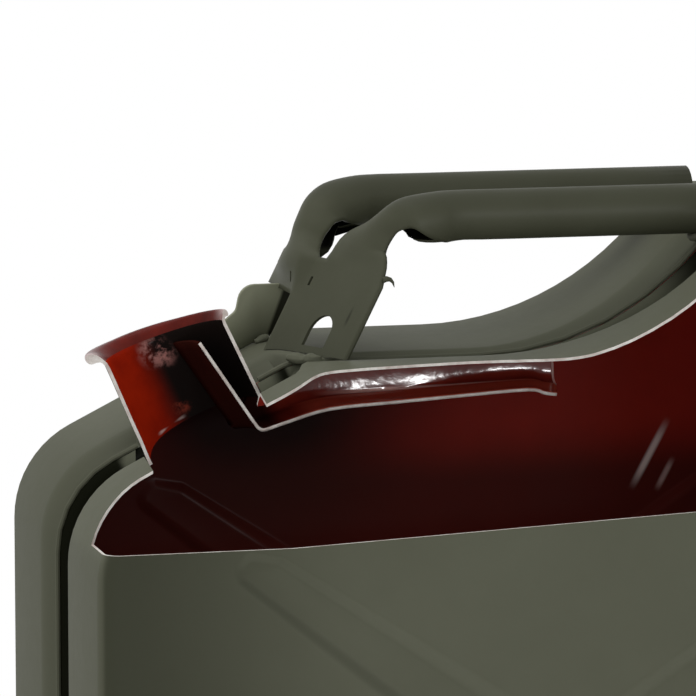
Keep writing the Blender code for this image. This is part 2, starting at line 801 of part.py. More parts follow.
def make_ear_weld(material):
    """A short bead at the foot of the ear, on its near side."""
    points = []
    for x in (ear_weld_start_x, (ear_weld_start_x + ear_weld_end_x) / 2, ear_weld_end_x):
        y = ear_depth - ear_sheet / 2 - weld_radius - join_gap
        points.append(Vector((front_x + x, y, top_height(x) + (weld_radius + join_gap) / math.cos(shoulder_angle))))
    return bead("ear_weld", points, weld_radius, material)


def make_handle_weld(name, middle, material):
    """The bead under a handle where it meets the hump."""
    points = []
    ring = handle_radius + join_gap + weld_radius
    for step in range(handle_weld_steps + 1):
        turn = handle_weld_arc * (step / handle_weld_steps - 1 / 2)
        y = math.sin(turn) * ring
        z = handle_axis_height - math.cos(turn) * ring
        points.append(Vector((front_x + hump_face_x(z), middle + y, z)))
    return bead(name, points, weld_radius, material)


def hump_face_x(z):
    """Distance from the front face of a bead that rests on the hump's slope at a height."""
    for (first, _, _), (second, _, _) in zip(outline, outline[1:]):
        if first.x > second.x and second.y <= z <= first.y and first.y - second.y > outline_tolerance:
            x = second.x + (first.x - second.x) * (z - second.y) / (first.y - second.y)
            slope = math.atan2(first.y - second.y, first.x - second.x)
            return x - (weld_radius + join_gap) / math.sin(slope)
    return hump_foot_x


olive_outer = paint("olive_enamel", (0.085, 0.092, 0.060), 0.55, 0.0)
olive_near = paint("olive_enamel_near", (0.075, 0.082, 0.055), 0.55, 0.0)
olive_handle = paint("olive_enamel_handles", (0.080, 0.085, 0.058), 0.5, 0.0)
olive_weld = paint("olive_enamel_welds", (0.065, 0.070, 0.048), 0.6, 0.0)
red_lacquer = paint("red_lacquer", (0.200, 0.010, 0.004), 0.25, 0.0)

envelope = body_envelope()
hole = neck_hole()
window = cut_away()

far_shell = make_shell("far_half_shell", 1, olive_outer)
cut(far_shell, hole)
near_shell = make_shell("near_half_shell", -1, olive_near)
cut(near_shell, window)
cut(near_shell, hole)
make_seam_bead(olive_weld)
make_neck(red_lacquer)
make_neck_bead(olive_weld)
make_duct(red_lacquer)
make_handle("centre_handle", 0, bracket_plan[0][1], leg_split_depth - leg_gap / 2, centre_rise_shares,
            centre_rolling, envelope, olive_handle)
make_handle("far_handle", handle_spacing, leg_split_depth + leg_gap / 2, bracket_plan[-1][1], far_rise_shares,
            far_rolling, envelope, olive_handle)
make_bracket(envelope, olive_handle)
make_ear(envelope, olive_handle)
make_foot_weld(olive_weld)
make_ear_weld(olive_weld)
make_handle_weld("centre_handle_weld", 0, olive_weld)
make_handle_weld("far_handle_weld", handle_spacing, olive_weld)
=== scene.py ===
import bpy
import bmesh
import math
import random
from mathutils import Matrix, Vector, noise
from mathutils.geometry import normal


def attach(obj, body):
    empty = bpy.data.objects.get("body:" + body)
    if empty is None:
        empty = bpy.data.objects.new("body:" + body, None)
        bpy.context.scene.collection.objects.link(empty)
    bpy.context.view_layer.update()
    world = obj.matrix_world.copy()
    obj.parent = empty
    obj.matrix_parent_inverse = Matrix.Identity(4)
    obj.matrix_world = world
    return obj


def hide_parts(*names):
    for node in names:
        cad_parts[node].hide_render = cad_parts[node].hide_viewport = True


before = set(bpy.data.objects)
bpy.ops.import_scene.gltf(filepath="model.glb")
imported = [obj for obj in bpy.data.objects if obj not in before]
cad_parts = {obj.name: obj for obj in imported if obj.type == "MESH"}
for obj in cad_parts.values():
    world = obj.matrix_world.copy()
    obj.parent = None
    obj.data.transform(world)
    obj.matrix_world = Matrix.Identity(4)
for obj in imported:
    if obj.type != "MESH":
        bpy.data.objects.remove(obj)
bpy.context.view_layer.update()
scene = bpy.context.scene
print("frame loaded")


# ---- materials ----

coat = {
    "inputs": {"Vector": "Vector", "Colour A": "Color", "Colour B": "Color", "Cloud Scale": "Float", "Peel Scale": "Float",
               "Rough": "Float", "Rough Spread": "Float"},
    "outputs": {"Colour": "Color", "Roughness": "Float", "Height": "Float"},
    "cloud": {"Detail": 5.0, "Roughness": 0.6}, "peel": {"Detail": 2.0, "Roughness": 0.5},
    "speck": {"Detail": 3.0, "Roughness": 0.7, "Scale": 170.0}, "patch": {"Detail": 4.0, "Roughness": 0.65},
    "spread": {"From Min": 0.35, "From Max": 0.65}, "speckHeight": 0.35, "roughSpread": 0.1,
    "lineFade": (0.05, 0.35),
}


def shaderOf(material):
    return material.node_tree.nodes["Principled BSDF"]


def newMaterial(name, **values):
    material = bpy.data.materials.new(name)
    material.use_nodes = True
    for socket, value in values.items():
        shaderOf(material).inputs[socket.replace("_", " ")].default_value = value
    return material


def addNode(tree, kind, **values):
    node = tree.nodes.new("ShaderNode" + kind)
    for key, value in values.items():
        if key in node.inputs:
            node.inputs[key].default_value = value
        else:
            setattr(node, key, value)
    return node


def linkAll(tree, pairs):
    for source, target in pairs:
        tree.links.new(source, target)


def paintSkinGroup():
    # clouded colour, orange peel and uneven gloss
    group = bpy.data.node_groups.new("paintSkin", "ShaderNodeTree")
    for side, sockets in (("INPUT", coat["inputs"]), ("OUTPUT", coat["outputs"])):
        for name, kind in sockets.items():
            group.interface.new_socket(name, in_out=side, socket_type="NodeSocket" + kind)
    ins, outs = group.nodes.new("NodeGroupInput"), group.nodes.new("NodeGroupOutput")
    cloud, peel, speck = (addNode(group, "TexNoise", **coat[name]) for name in ("cloud", "peel", "speck"))
    blend = addNode(group, "Mix", data_type="RGBA")
    spread = addNode(group, "MapRange", **coat["spread"])
    roughness = addNode(group, "Math", operation="MULTIPLY_ADD")
    height = addNode(group, "Math", operation="MULTIPLY_ADD")
    height.inputs[1].default_value = coat["speckHeight"]
    linkAll(group, [(ins.outputs["Vector"], texture.inputs["Vector"]) for texture in (cloud, peel, speck)])
    linkAll(group, [
        (ins.outputs["Cloud Scale"], cloud.inputs["Scale"]), (ins.outputs["Peel Scale"], peel.inputs["Scale"]),
        (cloud.outputs[0], spread.inputs["Value"]), (spread.outputs[0], blend.inputs["Factor"]),
        (ins.outputs["Colour A"], blend.inputs[6]), (ins.outputs["Colour B"], blend.inputs[7]),
        (speck.outputs[0], roughness.inputs[0]), (ins.outputs["Rough Spread"], roughness.inputs[1]),
        (ins.outputs["Rough"], roughness.inputs[2]),
        (speck.outputs[0], height.inputs[0]), (peel.outputs[0], height.inputs[2]),
        (blend.outputs[2], outs.inputs["Colour"]), (roughness.outputs[0], outs.inputs["Roughness"]),
        (height.outputs[0], outs.inputs["Height"]),
    ])
    return group


paintSkin = paintSkinGroup()


def onPiece(tree):
    return addNode(tree, "TexCoord").outputs["Object"]


def ramped(tree, value, low, high, atLow=0, atHigh=1):
    span = {"From Min": low, "From Max": high, "To Min": atLow, "To Max": atHigh}
    ramp = addNode(tree, "MapRange", interpolation_type="SMOOTHSTEP", **span)
    tree.links.new(value, ramp.inputs["Value"])
    return ramp.outputs[0]


def product(tree, first, second):
    node = addNode(tree, "Math", operation="MULTIPLY")
    tree.links.new(first, node.inputs[0])
    if isinstance(second, float):
        node.inputs[1].default_value = second
    else:
        tree.links.new(second, node.inputs[1])
    return node.outputs[0]


def vectorStep(tree, operation, source, second=(0, 0, 0)):
    node = addNode(tree, "VectorMath", operation=operation)
    node.inputs[1].default_value = second
    tree.links.new(source, node.inputs[0])
    return node.outputs


def pointMask(tree, place, near, far):
    # 1 within the near distance of a place, fading to 0 at the far one
    return ramped(tree, vectorStep(tree, "DISTANCE", onPiece(tree), place)["Value"], near, far, 1, 0)


def slopeMask(tree, place, way, low, high):
    # 0 below and 1 above, measured along a direction through a place
    shift = vectorStep(tree, "SUBTRACT", onPiece(tree), place)
    return ramped(tree, vectorStep(tree, "DOT_PRODUCT", shift[0], way)["Value"], low, high)


def lineMask(tree, start, finish, width, soft):
    # 1 along a line between two places, fading out at both ends
    start, finish = Vector(start), Vector(finish)
    length = (finish - start).length
    way = (finish - start).normalized()
    shift = vectorStep(tree, "SUBTRACT", onPiece(tree), start)
    away = vectorStep(tree, "CROSS_PRODUCT", shift[0], way)
    mask = ramped(tree, vectorStep(tree, "LENGTH", away[0])["Value"], width, width + soft, 1, 0)
    before, after = coat["lineFade"]
    for end, inward in ((start, way), (finish, -way)):
        mask = product(tree, mask, slopeMask(tree, end, inward, -length * before, length * after))
    return mask


def cloudMask(tree, scale, low, high):
    # uneven patches
    cloud = addNode(tree, "TexNoise", Scale=scale, **coat["patch"])
    tree.links.new(onPiece(tree), cloud.inputs["Vector"])
    return ramped(tree, cloud.outputs[0], low, high)


def layerMask(tree, name, low, high):
    # a value that the mesh carries
    return ramped(tree, addNode(tree, "Attribute", attribute_name=name).outputs["Fac"], low, high)


maskKinds = {"point": pointMask, "slope": slopeMask, "line": lineMask, "cloud": cloudMask, "layer": layerMask}


def tint(material, colour, share, masks):
    # the base colour turns to another where all the masks are 1
    tree = material.node_tree
    base = shaderOf(material).inputs["Base Color"]
    amount = share
    for kind, *values in masks:
        amount = product(tree, maskKinds[kind](tree, *values), amount)
    mix = addNode(tree, "Mix", data_type="RGBA")
    mix.inputs[7].default_value = (*colour, 1)
    linkAll(tree, [(amount, mix.inputs["Factor"]), (base.links[0].from_socket, mix.inputs[6]), (mix.outputs[2], base)])


def paint(name, colours, rough, specular=0.5, cloudScale=14.0, peelScale=520.0, bump=0.12, distance=0.0003, tints=()):
    # each tint is a colour, its share and its masks
    material = newMaterial(name, Specular_IOR_Level=specular)
    tree, shader = material.node_tree, shaderOf(material)
    skin = addNode(tree, "Group")
    skin.node_tree = paintSkin
    values = {"Colour A": (*colours[0], 1), "Colour B": (*colours[1], 1), "Cloud Scale": cloudScale, "Peel Scale": peelScale,
              "Rough": rough - coat["roughSpread"] / 2, "Rough Spread": coat["roughSpread"]}
    for key, value in values.items():
        skin.inputs[key].default_value = value
    relief = addNode(tree, "Bump", Strength=bump, Distance=distance)
    linkAll(tree, [
        (onPiece(tree), skin.inputs["Vector"]), (skin.outputs["Colour"], shader.inputs["Base Color"]),
        (skin.outputs["Roughness"], shader.inputs["Roughness"]), (skin.outputs["Height"], relief.inputs["Height"]),
        (relief.outputs["Normal"], shader.inputs["Normal"]),
    ])
    for colour, share, *masks in tints:
        tint(material, colour, share, masks)
    return material


# painted shade: the front narrow faces turn to this darker olive
frontShadeOlive = (0.083, 0.086, 0.06)
# painted shade, near-black, deep in the seam channel
grooveShadeBlack = (0.003, 0.0036, 0.0004)
pressingWallLight = [  # painted light on the pressing's upper wall and painted shade on its lower wall
    ((0.15, 0.155, 0.115), 0.5, ("layer", "tone", 0, 1)),
    ((0.055, 0.058, 0.04), 0.5, ("layer", "tone", 0, -1)),
]
enamel = paint("oliveEnamel", [(0.101, 0.1045, 0.0745), (0.092, 0.0955, 0.067)], 0.58, specular=0.05, tints=[
    *pressingWallLight,
    # painted shade on the far shell's front narrow face
    (frontShadeOlive, 0.9, ("slope", (-0.142, 0, 0), (-1, 0, 0), 0, 0.022)),
    (grooveShadeBlack, 1.0, ("layer", "groove", 0.2, 0.85)),
])
enamelNear = paint("oliveEnamelNear", [(0.104, 0.108, 0.0765), (0.095, 0.0985, 0.069)], 0.58, specular=0.05, tints=[
    *pressingWallLight,
    ((0.024, 0.026, 0.015), 0.72,  # painted shade: the near side panel darkens towards the front
     ("slope", (-0.1625, 0, 0), (-1, 0, 0), -0.1, 0.008), ("slope", (0, -0.078, 0), (0, -1, 0), 0, 0.0035)),
    # painted shade on the near shell's front narrow face
    (frontShadeOlive, 0.9, ("slope", (-0.17, 0, 0), (-1, 0, 0), 0, 0.002)),
    (grooveShadeBlack, 1.0, ("layer", "groove", 0.4, 0.95)),
])
# a darker copy of the olive enamel for the handles and bracket: painted shade
enamelHandlesShaded = paint("oliveEnamelHandles", [(0.068, 0.071, 0.047), (0.058, 0.0605, 0.039)], 0.48, specular=0.07,
                   cloudScale=22.0, tints=[
    ((0.045, 0.047, 0.031), 0.75, ("slope", (0, 0, 0.46), (0, 0, 1), 0, 0.009)),  # darker over the tops of the tubes
    ((0.018, 0.019, 0.011), 0.7, ("line", (-0.0638, -0.003, 0.4205), (-0.0604, -0.0036, 0.43), 0.0002, 0.0009)),  # painted shade along a crease
])
# the rolled sheet's inner side, with painted shade: near-black above z 0.44, inside the tubes
enamelHandlesInnerShade = paint("oliveEnamelHandlesInner", [(0.064, 0.067, 0.044), (0.054, 0.057, 0.037)], 0.55, specular=0.02,
                    cloudScale=22.0, tints=[((0.003, 0.003, 0.0018), 1.0, ("slope", (0, 0, 0.4405), (0, 0, 1), 0, 0.003))])
# a lighter copy of the olive enamel: painted light on the ear
enamelEarLit = paint("oliveEnamelEarLit", [(0.215, 0.223, 0.156), (0.195, 0.203, 0.14)], 0.52, specular=0.05,
                  cloudScale=26.0, tints=[
    ((0.008, 0.008, 0.004), 0.93, ("slope", (-0.0762, 0.0498, 0.4252), (0.9377, 0, -0.3474), 0, 0.0016)),  # painted shadow of the wing on the ear
])
lacquerIn = paint("redLacquerInside", [(0.5, 0.036, 0.021), (0.37, 0.029, 0.018)], 0.34, specular=0.02, cloudScale=9.0,
                  peelScale=90.0, bump=0.08, distance=0.0008, tints=[
    ((0.008, 0.005, 0.004), 0.96, ("point", (-0.078, 0.0815, 0.385), 0.022, 0.09)),  # painted shade below the neck
    ((0.006, 0.0064, 0.004), 1.0,  # painted shade, dark olive, on the flange in front of the neck
     ("slope", (0, 0.0022, 0), (0, -1, 0), 0, 0.0006), ("slope", (-0.1365, 0, 0), (-1, 0, 0), 0, 0.0006)),
    # painted shade, deeper towards the bottom of the inside
    ((0.07, 0.016, 0.012), 0.85, ("slope", (0, 0, 0.372), (0, 0, -1), 0, 0.026)),
    ((0.95, 0.83, 0.78), 0.9, ("line", (0.088, 0.0815, 0.368), (0.0735, 0.0815, 0.3415), 0.0004, 0.0016)),  # two glints
    ((0.8, 0.6, 0.55), 0.6, ("line", (0.0905, 0.0815, 0.353), (0.0835, 0.0815, 0.34), 0.0003, 0.0014)),
])
lacquerDuct = paint("redLacquerDuct", [(0.24, 0.026, 0.015), (0.15, 0.015, 0.009)], 0.13, cloudScale=40.0, peelScale=120.0,
                    bump=0.22, distance=0.0008, tints=[
    # painted shade towards the duct's neck end
    ((0.008, 0.004, 0.003), 0.9, ("slope", (-0.082, 0, 0), (-1, 0, 0), 0, 0.008)),
    ((0.62, 0.11, 0.06), 1.0,  # painted light on the floor, seen under the wall
     ("slope", (-0.082, 0, 0), (1, 0, 0), 0, 0.012), ("slope", (0, 0.0176, 0), (0, -1, 0), 0, 0.0012)),
    # a painted highlight line along the foot of the wall
    ((0.95, 0.62, 0.55), 0.9, ("line", (-0.068, 0.0187, 0.3929), (0.015, 0.0156, 0.3959), 0.0003, 0.001)),
    ((0.75, 0.5, 0.45), 1.0, ("slope", (0.0224, 0, 0), (1, 0, 0), 0, 0.0003)),  # the bare end
])
ductTree = lacquerDuct.node_tree
ductShine = product(ductTree, slopeMask(ductTree, (-0.086, 0, 0), (1, 0, 0), 0, 0.014), 0.21)
ductTree.links.new(ductShine, shaderOf(lacquerDuct).inputs["Specular IOR Level"])
cutEdge = paint("cutEdge", [(0.8, 0.77, 0.72), (0.5, 0.42, 0.38)], 0.45, specular=0.4, cloudScale=160.0,
                peelScale=900.0, bump=0.25)
# painted shade: the cut rim round the neck hole is near-black
holeRimShade = paint("holeRimShade", [(0.012, 0.012, 0.009), (0.008, 0.008, 0.006)], 0.6, specular=0.02)
# the lip's lacquer, worn and with a painted highlight: paler and pinker towards the cut
lipPaint = paint("wornLipWithHighlight", [(0.135, 0.014, 0.009), (0.07, 0.009, 0.007)], 0.22, specular=0.06, cloudScale=60.0, peelScale=300.0,
                 tints=[((0.38, 0.25, 0.24), 0.9, ("slope", (0, 0.01, 0), (0, -1, 0), 0, 0.01))])
print("materials made")


# ---- shared shaping ----

def newObject(name, data):
    item = bpy.data.objects.new(name, data)
    scene.collection.objects.link(item)
    return item


def meshPiece(name, bm, materials, smoothAngle=0):
    mesh = bpy.data.meshes.new(name)
    bm.to_mesh(mesh)
    bm.free()
    piece = newObject(name, mesh)
    for material in materials:
        mesh.materials.append(material)
    if smoothAngle:
        mesh.shade_smooth()
        mesh.set_sharp_from_angle(angle=math.radians(smoothAngle))
    return piece


def applied(piece):
    # modifiers go into the mesh, so that the piece is finished
    graph = bpy.context.evaluated_depsgraph_get()
    bpy.context.view_layer.update()
    mesh = bpy.data.meshes.new_from_object(piece.evaluated_get(graph))
    piece.modifiers.clear()
    old, piece.data = piece.data, mesh
    bpy.data.meshes.remove(old)
    return piece


def modified(piece, name, kind, **values):
    modifier = piece.modifiers.new(name, kind)
    for key, value in values.items():
        setattr(modifier, key, value)


def sheet(piece, thickness, offset, inner=0, rim=0):
    modified(piece, "sheet", "SOLIDIFY", thickness=thickness, offset=offset, use_even_offset=True,
             use_quality_normals=True, material_offset=inner, material_offset_rim=rim)


def cutWith(piece, tool):
    modified(piece, "cut", "BOOLEAN", operation="DIFFERENCE", object=tool, solver="EXACT", material_mode="TRANSFER")


def outward(bm):
    bmesh.ops.recalc_face_normals(bm, faces=bm.faces)


def merged(bm, distance):
    bmesh.ops.remove_doubles(bm, verts=bm.verts, dist=distance)


def bridged(bm, loops, closed):
    # each loop of points is joined to the next
    grid = [[bm.verts.new(point) for point in loop] for loop in loops]
    chains = []
    for verts in grid:
        pairs = zip(verts, verts[1:] + verts[:1]) if closed else zip(verts, verts[1:])
        chains.append([bm.edges.new(pair) for pair in pairs])
    for first, second in zip(chains, chains[1:]):
        bmesh.ops.bridge_loops(bm, edges=first + second)
    return grid, chains


def roundCorner(corners, index, tolerance, count=0):
    # (share of the turn, place, inward direction) along a corner's arc
    x, z, radius = corners[index][:3]
    here = Vector((x, z))
    if radius == 0:
        return [(0, here, Vector((0, 0)))]
    wayIn = (here - Vector(corners[index - 1][:2])).normalized()
    wayOut = (Vector(corners[(index + 1) % len(corners)][:2]) - here).normalized()
    turn = math.atan2(wayIn.x * wayOut.y - wayIn.y * wayOut.x, wayIn.dot(wayOut))
    side = math.copysign(1, turn)
    left = Vector((-wayIn.y, wayIn.x))
    centre = here - wayIn * radius * math.tan(abs(turn) / 2) + left * radius * side
    steps = count or max(2, math.ceil(abs(turn) / (2 * math.acos(1 - tolerance / radius))))
    result = []
    for step in range(steps + 1):
        inward = Matrix.Rotation(turn * step / steps, 2) @ left
        result.append((step / steps, centre - inward * radius * side, inward))
    return result


def roundedLoop(corners, tolerance):
    return [place for index in range(len(corners)) for _, place, _ in roundCorner(corners, index, tolerance)]


def stripped(bm, loops):
    # closed loops with the same count of points, joined point to point where their sides are too long to bridge
    grid = [[bm.verts.new(point) for point in loop] for loop in loops]
    for first, second in zip(grid, grid[1:]):
        for index in range(len(first)):
            bm.faces.new((first[index - 1], first[index], second[index], second[index - 1]))
    find = lambda verts: [bm.edges.get(pair) for pair in zip(verts, verts[1:] + verts[:1])]
    return grid, find(grid[0]), find(grid[-1])


def smoothStates(states, steps):
    # a smooth line through rows of numbers; the first and the last row only give it a direction
    fine = []
    for index in range(1, len(states) - 2):
        for step in range(steps):
            t = step / steps
            fine.append([0.5 * (b * 2 + (c - a) * t + (a * 2 - b * 5 + c * 4 - d) * t * t + (b * 3 - a - c * 3 + d) * t ** 3)
                         for a, b, c, d in zip(*states[index - 1:index + 3])])
    return fine + [list(states[-2])]


def smoothCurve(points, steps):
    # the same through points, with an end mirrored at either side
    before, after = ([2 * a - b for a, b in zip(*pair)] for pair in (points[:2], points[:-3:-1]))
    return [Vector(row) for row in smoothStates([before, *points, after], steps)]


def around(items, index):
    return items[max(0, index - 1)], items[min(len(items) - 1, index + 1)]


def ease(share):
    share = min(1, max(0, share))
    return share * share * (3 - 2 * share)


def spaced(first, last, count):
    return [first + (last - first) * step / count for step in range(count + 1)]


def prism(points, way):
    # a flat outline swept along a way, closed at both ends
    bm = bmesh.new()
    swept = bmesh.ops.extrude_face_region(bm, geom=[bm.faces.new([bm.verts.new(point) for point in points])])
    bmesh.ops.translate(bm, verts=[item for item in swept["geom"] if isinstance(item, bmesh.types.BMVert)], vec=way)
    outward(bm)
    return bm


# ---- the two pressed half shells ----

can = {
    "frontX": -0.1725, "width": 0.345, "halfDepth": 0.0825,
    "deck": 0.4095, "hump": 0.462, "frontRise": 0.3651,
    "shoulder": math.radians(26.6), "humpSlope": math.radians(52), "humpFoot": 0.2151,
    "baseRound": 0.032, "rearRound": 0.026, "lipRound": 0.014, "sweepRound": 0.113, "breakRound": 0.018, "shoulderRound": 0.039,
    "sheet": 0.001, "edgeRound": 0.006, "tolerance": 0.00007,
    "channelDepth": 0.0075, "channelFloor": 0.009, "channelMouth": 0.0265,
    "deckDepth": 0.0034, "deckFloor": 0.0035, "deckMouth": 0.0105,
    "flangeGap": 0.00015, "flangeRecess": 0.0023, "foot": [(0, -0.0009), (0.0003, -0.0003), (0.0009, 0)], "panelLead": 0.0015,
    "channelSteps": 10, "edgeSteps": 8, "grooveReach": 0.021,
}


def canOutline():
    rise = can["deck"] - can["frontRise"]
    lipX = can["humpFoot"] + (can["hump"] - can["deck"]) / math.tan(can["humpSlope"])
    corners = [
        (0, 0, can["baseRound"], 1, 1), (can["width"], 0, can["baseRound"], 1, 1),
        (can["width"], can["hump"], can["rearRound"], 1, 1), (lipX, can["hump"], can["lipRound"], 1, 1),
        (can["humpFoot"], can["deck"], can["sweepRound"], 1, 0),
        (rise / math.tan(can["shoulder"]), can["deck"], can["breakRound"], 0, 1),
        (0, can["frontRise"], can["shoulderRound"], 1, 1),
    ]
    line = []
    for index, (_, _, _, shareIn, shareOut) in enumerate(corners):
        for share, place, inward in roundCorner(corners, index, can["tolerance"]):
            line.append((place, inward, shareIn + (shareOut - shareIn) * ease(share)))
    return line


outline = canOutline()


def onCan(place, inward, inset, y):
    return Vector((can["frontX"] + place.x + inward.x * inset, y, place.y + inward.y * inset))


def channelAt(share):
    # its depth and the half widths of its floor and mouth, from the deck's groove (0) to the narrow walls' channel (1)
    return [can["deck" + key] + (can["channel" + key] - can["deck" + key]) * share for key in ("Depth", "Floor", "Mouth")]


def wallSection(share):
    # half of the narrow wall as (y, inset): flange, channel, its soft side, the flat strip and the rounded edge
    depth, floor, mouth = channelAt(share)
    face = can["flangeGap"] + can["sheet"]
    line = [(face, can["flangeRecess"])] + [(face + out, depth + up) for out, up in can["foot"]]
    for t in spaced(0, 1, can["channelSteps"]):
        line.append((floor + (mouth - floor) * t, depth * (1 - ease(t))))
    for angle in spaced(0, math.pi / 2, can["edgeSteps"]):
        line.append((can["halfDepth"] - can["edgeRound"] * (1 - math.sin(angle)), can["edgeRound"] * (1 - math.cos(angle))))
    return line + [(can["halfDepth"], can["edgeRound"] + can["panelLead"])]


cross = {
    "height": 0.205, "depth": 0.0038, "fade": 0.034, "tip": (0.124, 0.148), "apron": 0.12,
    "edge": [(0, 0.0786, 0.01), (0.1061, 0.1461, 0.006), (0.1195, 0.149, 0.004), (0.1271, 0.1395, 0.006),
             (0.02, 0.0506, 0.012)],
    "floor": [(0, 0.0671, 0.018), (0.1075, 0.142, 0.004), (0.1177, 0.144, 0.0018), (0.1208, 0.1401, 0.0018),
              (0.011, 0.0548, 0.02)],
    "levels": [0, 0.12, 0.24, 0.36, 0.5, 0.64, 0.76, 0.88, 1], "tipShare": 0.12, "leastRound": 0.0012, "cornerSteps": 10,
}


def crossLoop(level):
    # the outline of the pressing, between its edge and its floor; past either end lie the flat aprons
    up = [tuple(a + (b - a) * level for a, b in zip(edge, floor)) for edge, floor in zip(cross["edge"], cross["floor"])]
    up = [(x if index else 0, z, max(r, cross["leastRound"])) for index, (x, z, r) in enumerate(up)]
    down = [(x, -z, r) for x, z, r in reversed(up)]
    leftDown = [(-x, z, r) for x, z, r in reversed(down[:-1])]
    leftUp = [(-x, z, r) for x, z, r in reversed(up[1:])]
    corners = (up + down + leftDown + leftUp)[::-1]
    return [place for index in range(len(corners)) for _, place, _ in roundCorner(corners, index, 0, cross["cornerSteps"])]


def crossDrop(place, level):
    # the pressing dies out towards its four tips
    reach = math.hypot(abs(place.x) - cross["tip"][0], abs(place.y) - cross["tip"][1])
    return ease(level) * cross["depth"] * (cross["tipShare"] + (1 - cross["tipShare"]) * ease(reach / cross["fade"]))


def halfShell(name, side, materials):
    # the narrow wall round the outline, then the panel with its pressing; the sheet's thickness comes last
    bm = bmesh.new()
    groove = bm.verts.layers.float.new("groove")
    tone = bm.verts.layers.float.new("tone")
    levels = list(zip(*(wallSection(share) for _, _, share in outline)))
    loops = [[onCan(place, inward, inset, side * across) for (place, inward, _), (across, inset) in zip(outline, row)]
             for row in levels]
    grid, chains = bridged(bm, loops, True)
    # this layer weights the painted shade in the seam channel
    for verts, row in zip(grid, levels):
        for vert, (_, _, share), (across, _) in zip(verts, outline, row):
            fade = (across - can["channelFloor"]) / (can["grooveReach"] - can["channelFloor"])
            vert[groove] = share ** 3 * (1 - ease(fade))
    panelY = side * can["halfDepth"]
    levels = [-cross["apron"], *cross["levels"], 1 + cross["apron"]]
    places = [crossLoop(level) for level in levels]
    rings = [[(place.x, panelY, cross["height"] + place.y) for place in ring] for ring in places]
    ringGrid, edgeLoop, floorLoop = stripped(bm, rings)
    for edges in (chains[-1] + edgeLoop, floorLoop):
        bmesh.ops.triangle_fill(bm, edges=edges, use_beauty=True, normal=Vector((0, side, 0)))
    for level, ring, verts in zip(levels, places, ringGrid):
        for index, (place, vert) in enumerate(zip(ring, verts)):
            vert.co.y -= side * crossDrop(place, level)
            inward = (places[-1][index] - places[0][index]).normalized()
            # this layer weights the painted light and shade on the pressing's walls
            vert[tone] = -inward.y * max(0, 4 * level * (1 - level))
    outward(bm)
    bm.normal_update()
    if max(bm.faces, key=lambda face: face.calc_area() * abs(face.normal.y)).normal.y * side < 0:
        bmesh.ops.reverse_faces(bm, faces=bm.faces)
    piece = meshPiece(name, bm, materials, smoothAngle=30)
    sheet(piece, can["sheet"], -1, inner=1)
    return piece


cutLine = {
    "floorFront": 0.3536, "floorRear": 0.3625, "flatTo": 0.07, "rearX": 0.268,
    "front": [(0.0, 0.061), (0.0025, 0.0575), (0.007, 0.055), (0.018, 0.0515), (0.0262, 0.0505)],
    "neckFront": 0.0305, "neckRear": 0.0745,
    "rear": [(0.0693, 0.045), (0.079, 0.0452), (0.086, 0.0425), (0.0927, 0.0378), (0.0992, 0.034), (0.1152, 0.0298),
             (0.1476, 0.0245), (0.164, 0.025), (0.174, 0.031), (0.1814, 0.0385), (0.1885, 0.0445), (0.198, 0.047),
             (0.2092, 0.048), (0.2297, 0.049), (0.258, 0.05), (0.2655, 0.053)],
    "steps": 5, "frontSteps": 3, "shake": 0.00012, "seed": 7,
    "outside": -0.12, "outsideX": (0.22, 0.17, 0.12, 0.07, 0.03), "beforeX": -0.03, "above": 0.52,
}


def cutTool():
    # the prism above the lower cut, outside the cut line; its own faces leave bare steel behind
    dice = random.Random(cutLine["seed"])
    plan = [Vector((x, -y)) for x, y in smoothCurve(cutLine["front"], cutLine["frontSteps"])]
    plan += [Vector((cutLine["neckFront"], 0)), Vector((cutLine["neckRear"], 0))]
    plan += [Vector((x, -y)) for x, y in smoothCurve(cutLine["rear"], cutLine["steps"])]
    for point in plan[1:-1]:
        if point.y:
            point.y += dice.uniform(-1, 1) * cutLine["shake"]
    plan += [Vector((cutLine["rearX"], -can["halfDepth"])), Vector((cutLine["rearX"], cutLine["outside"]))]
    plan += [Vector((x, cutLine["outside"])) for x in (*cutLine["outsideX"], cutLine["beforeX"])]
    plan += [Vector((cutLine["beforeX"], plan[0].y))]
    bm = bmesh.new()
    base = []
    for point in plan:
        share = max(0, (point.x - cutLine["flatTo"]) / (cutLine["rearX"] - cutLine["flatTo"]))
        height = cutLine["floorFront"] + (cutLine["floorRear"] - cutLine["floorFront"]) * share
        base.append(bm.verts.new((can["frontX"] + point.x, point.y, height)))
    for item in bmesh.ops.extrude_face_region(bm, geom=[bm.faces.new(base)])["geom"]:
        if isinstance(item, bmesh.types.BMVert):
            item.co.z = cutLine["above"]
    bmesh.ops.triangulate(bm, faces=bm.faces)
    outward(bm)
    return meshPiece("cutTool", bm, [cutEdge])


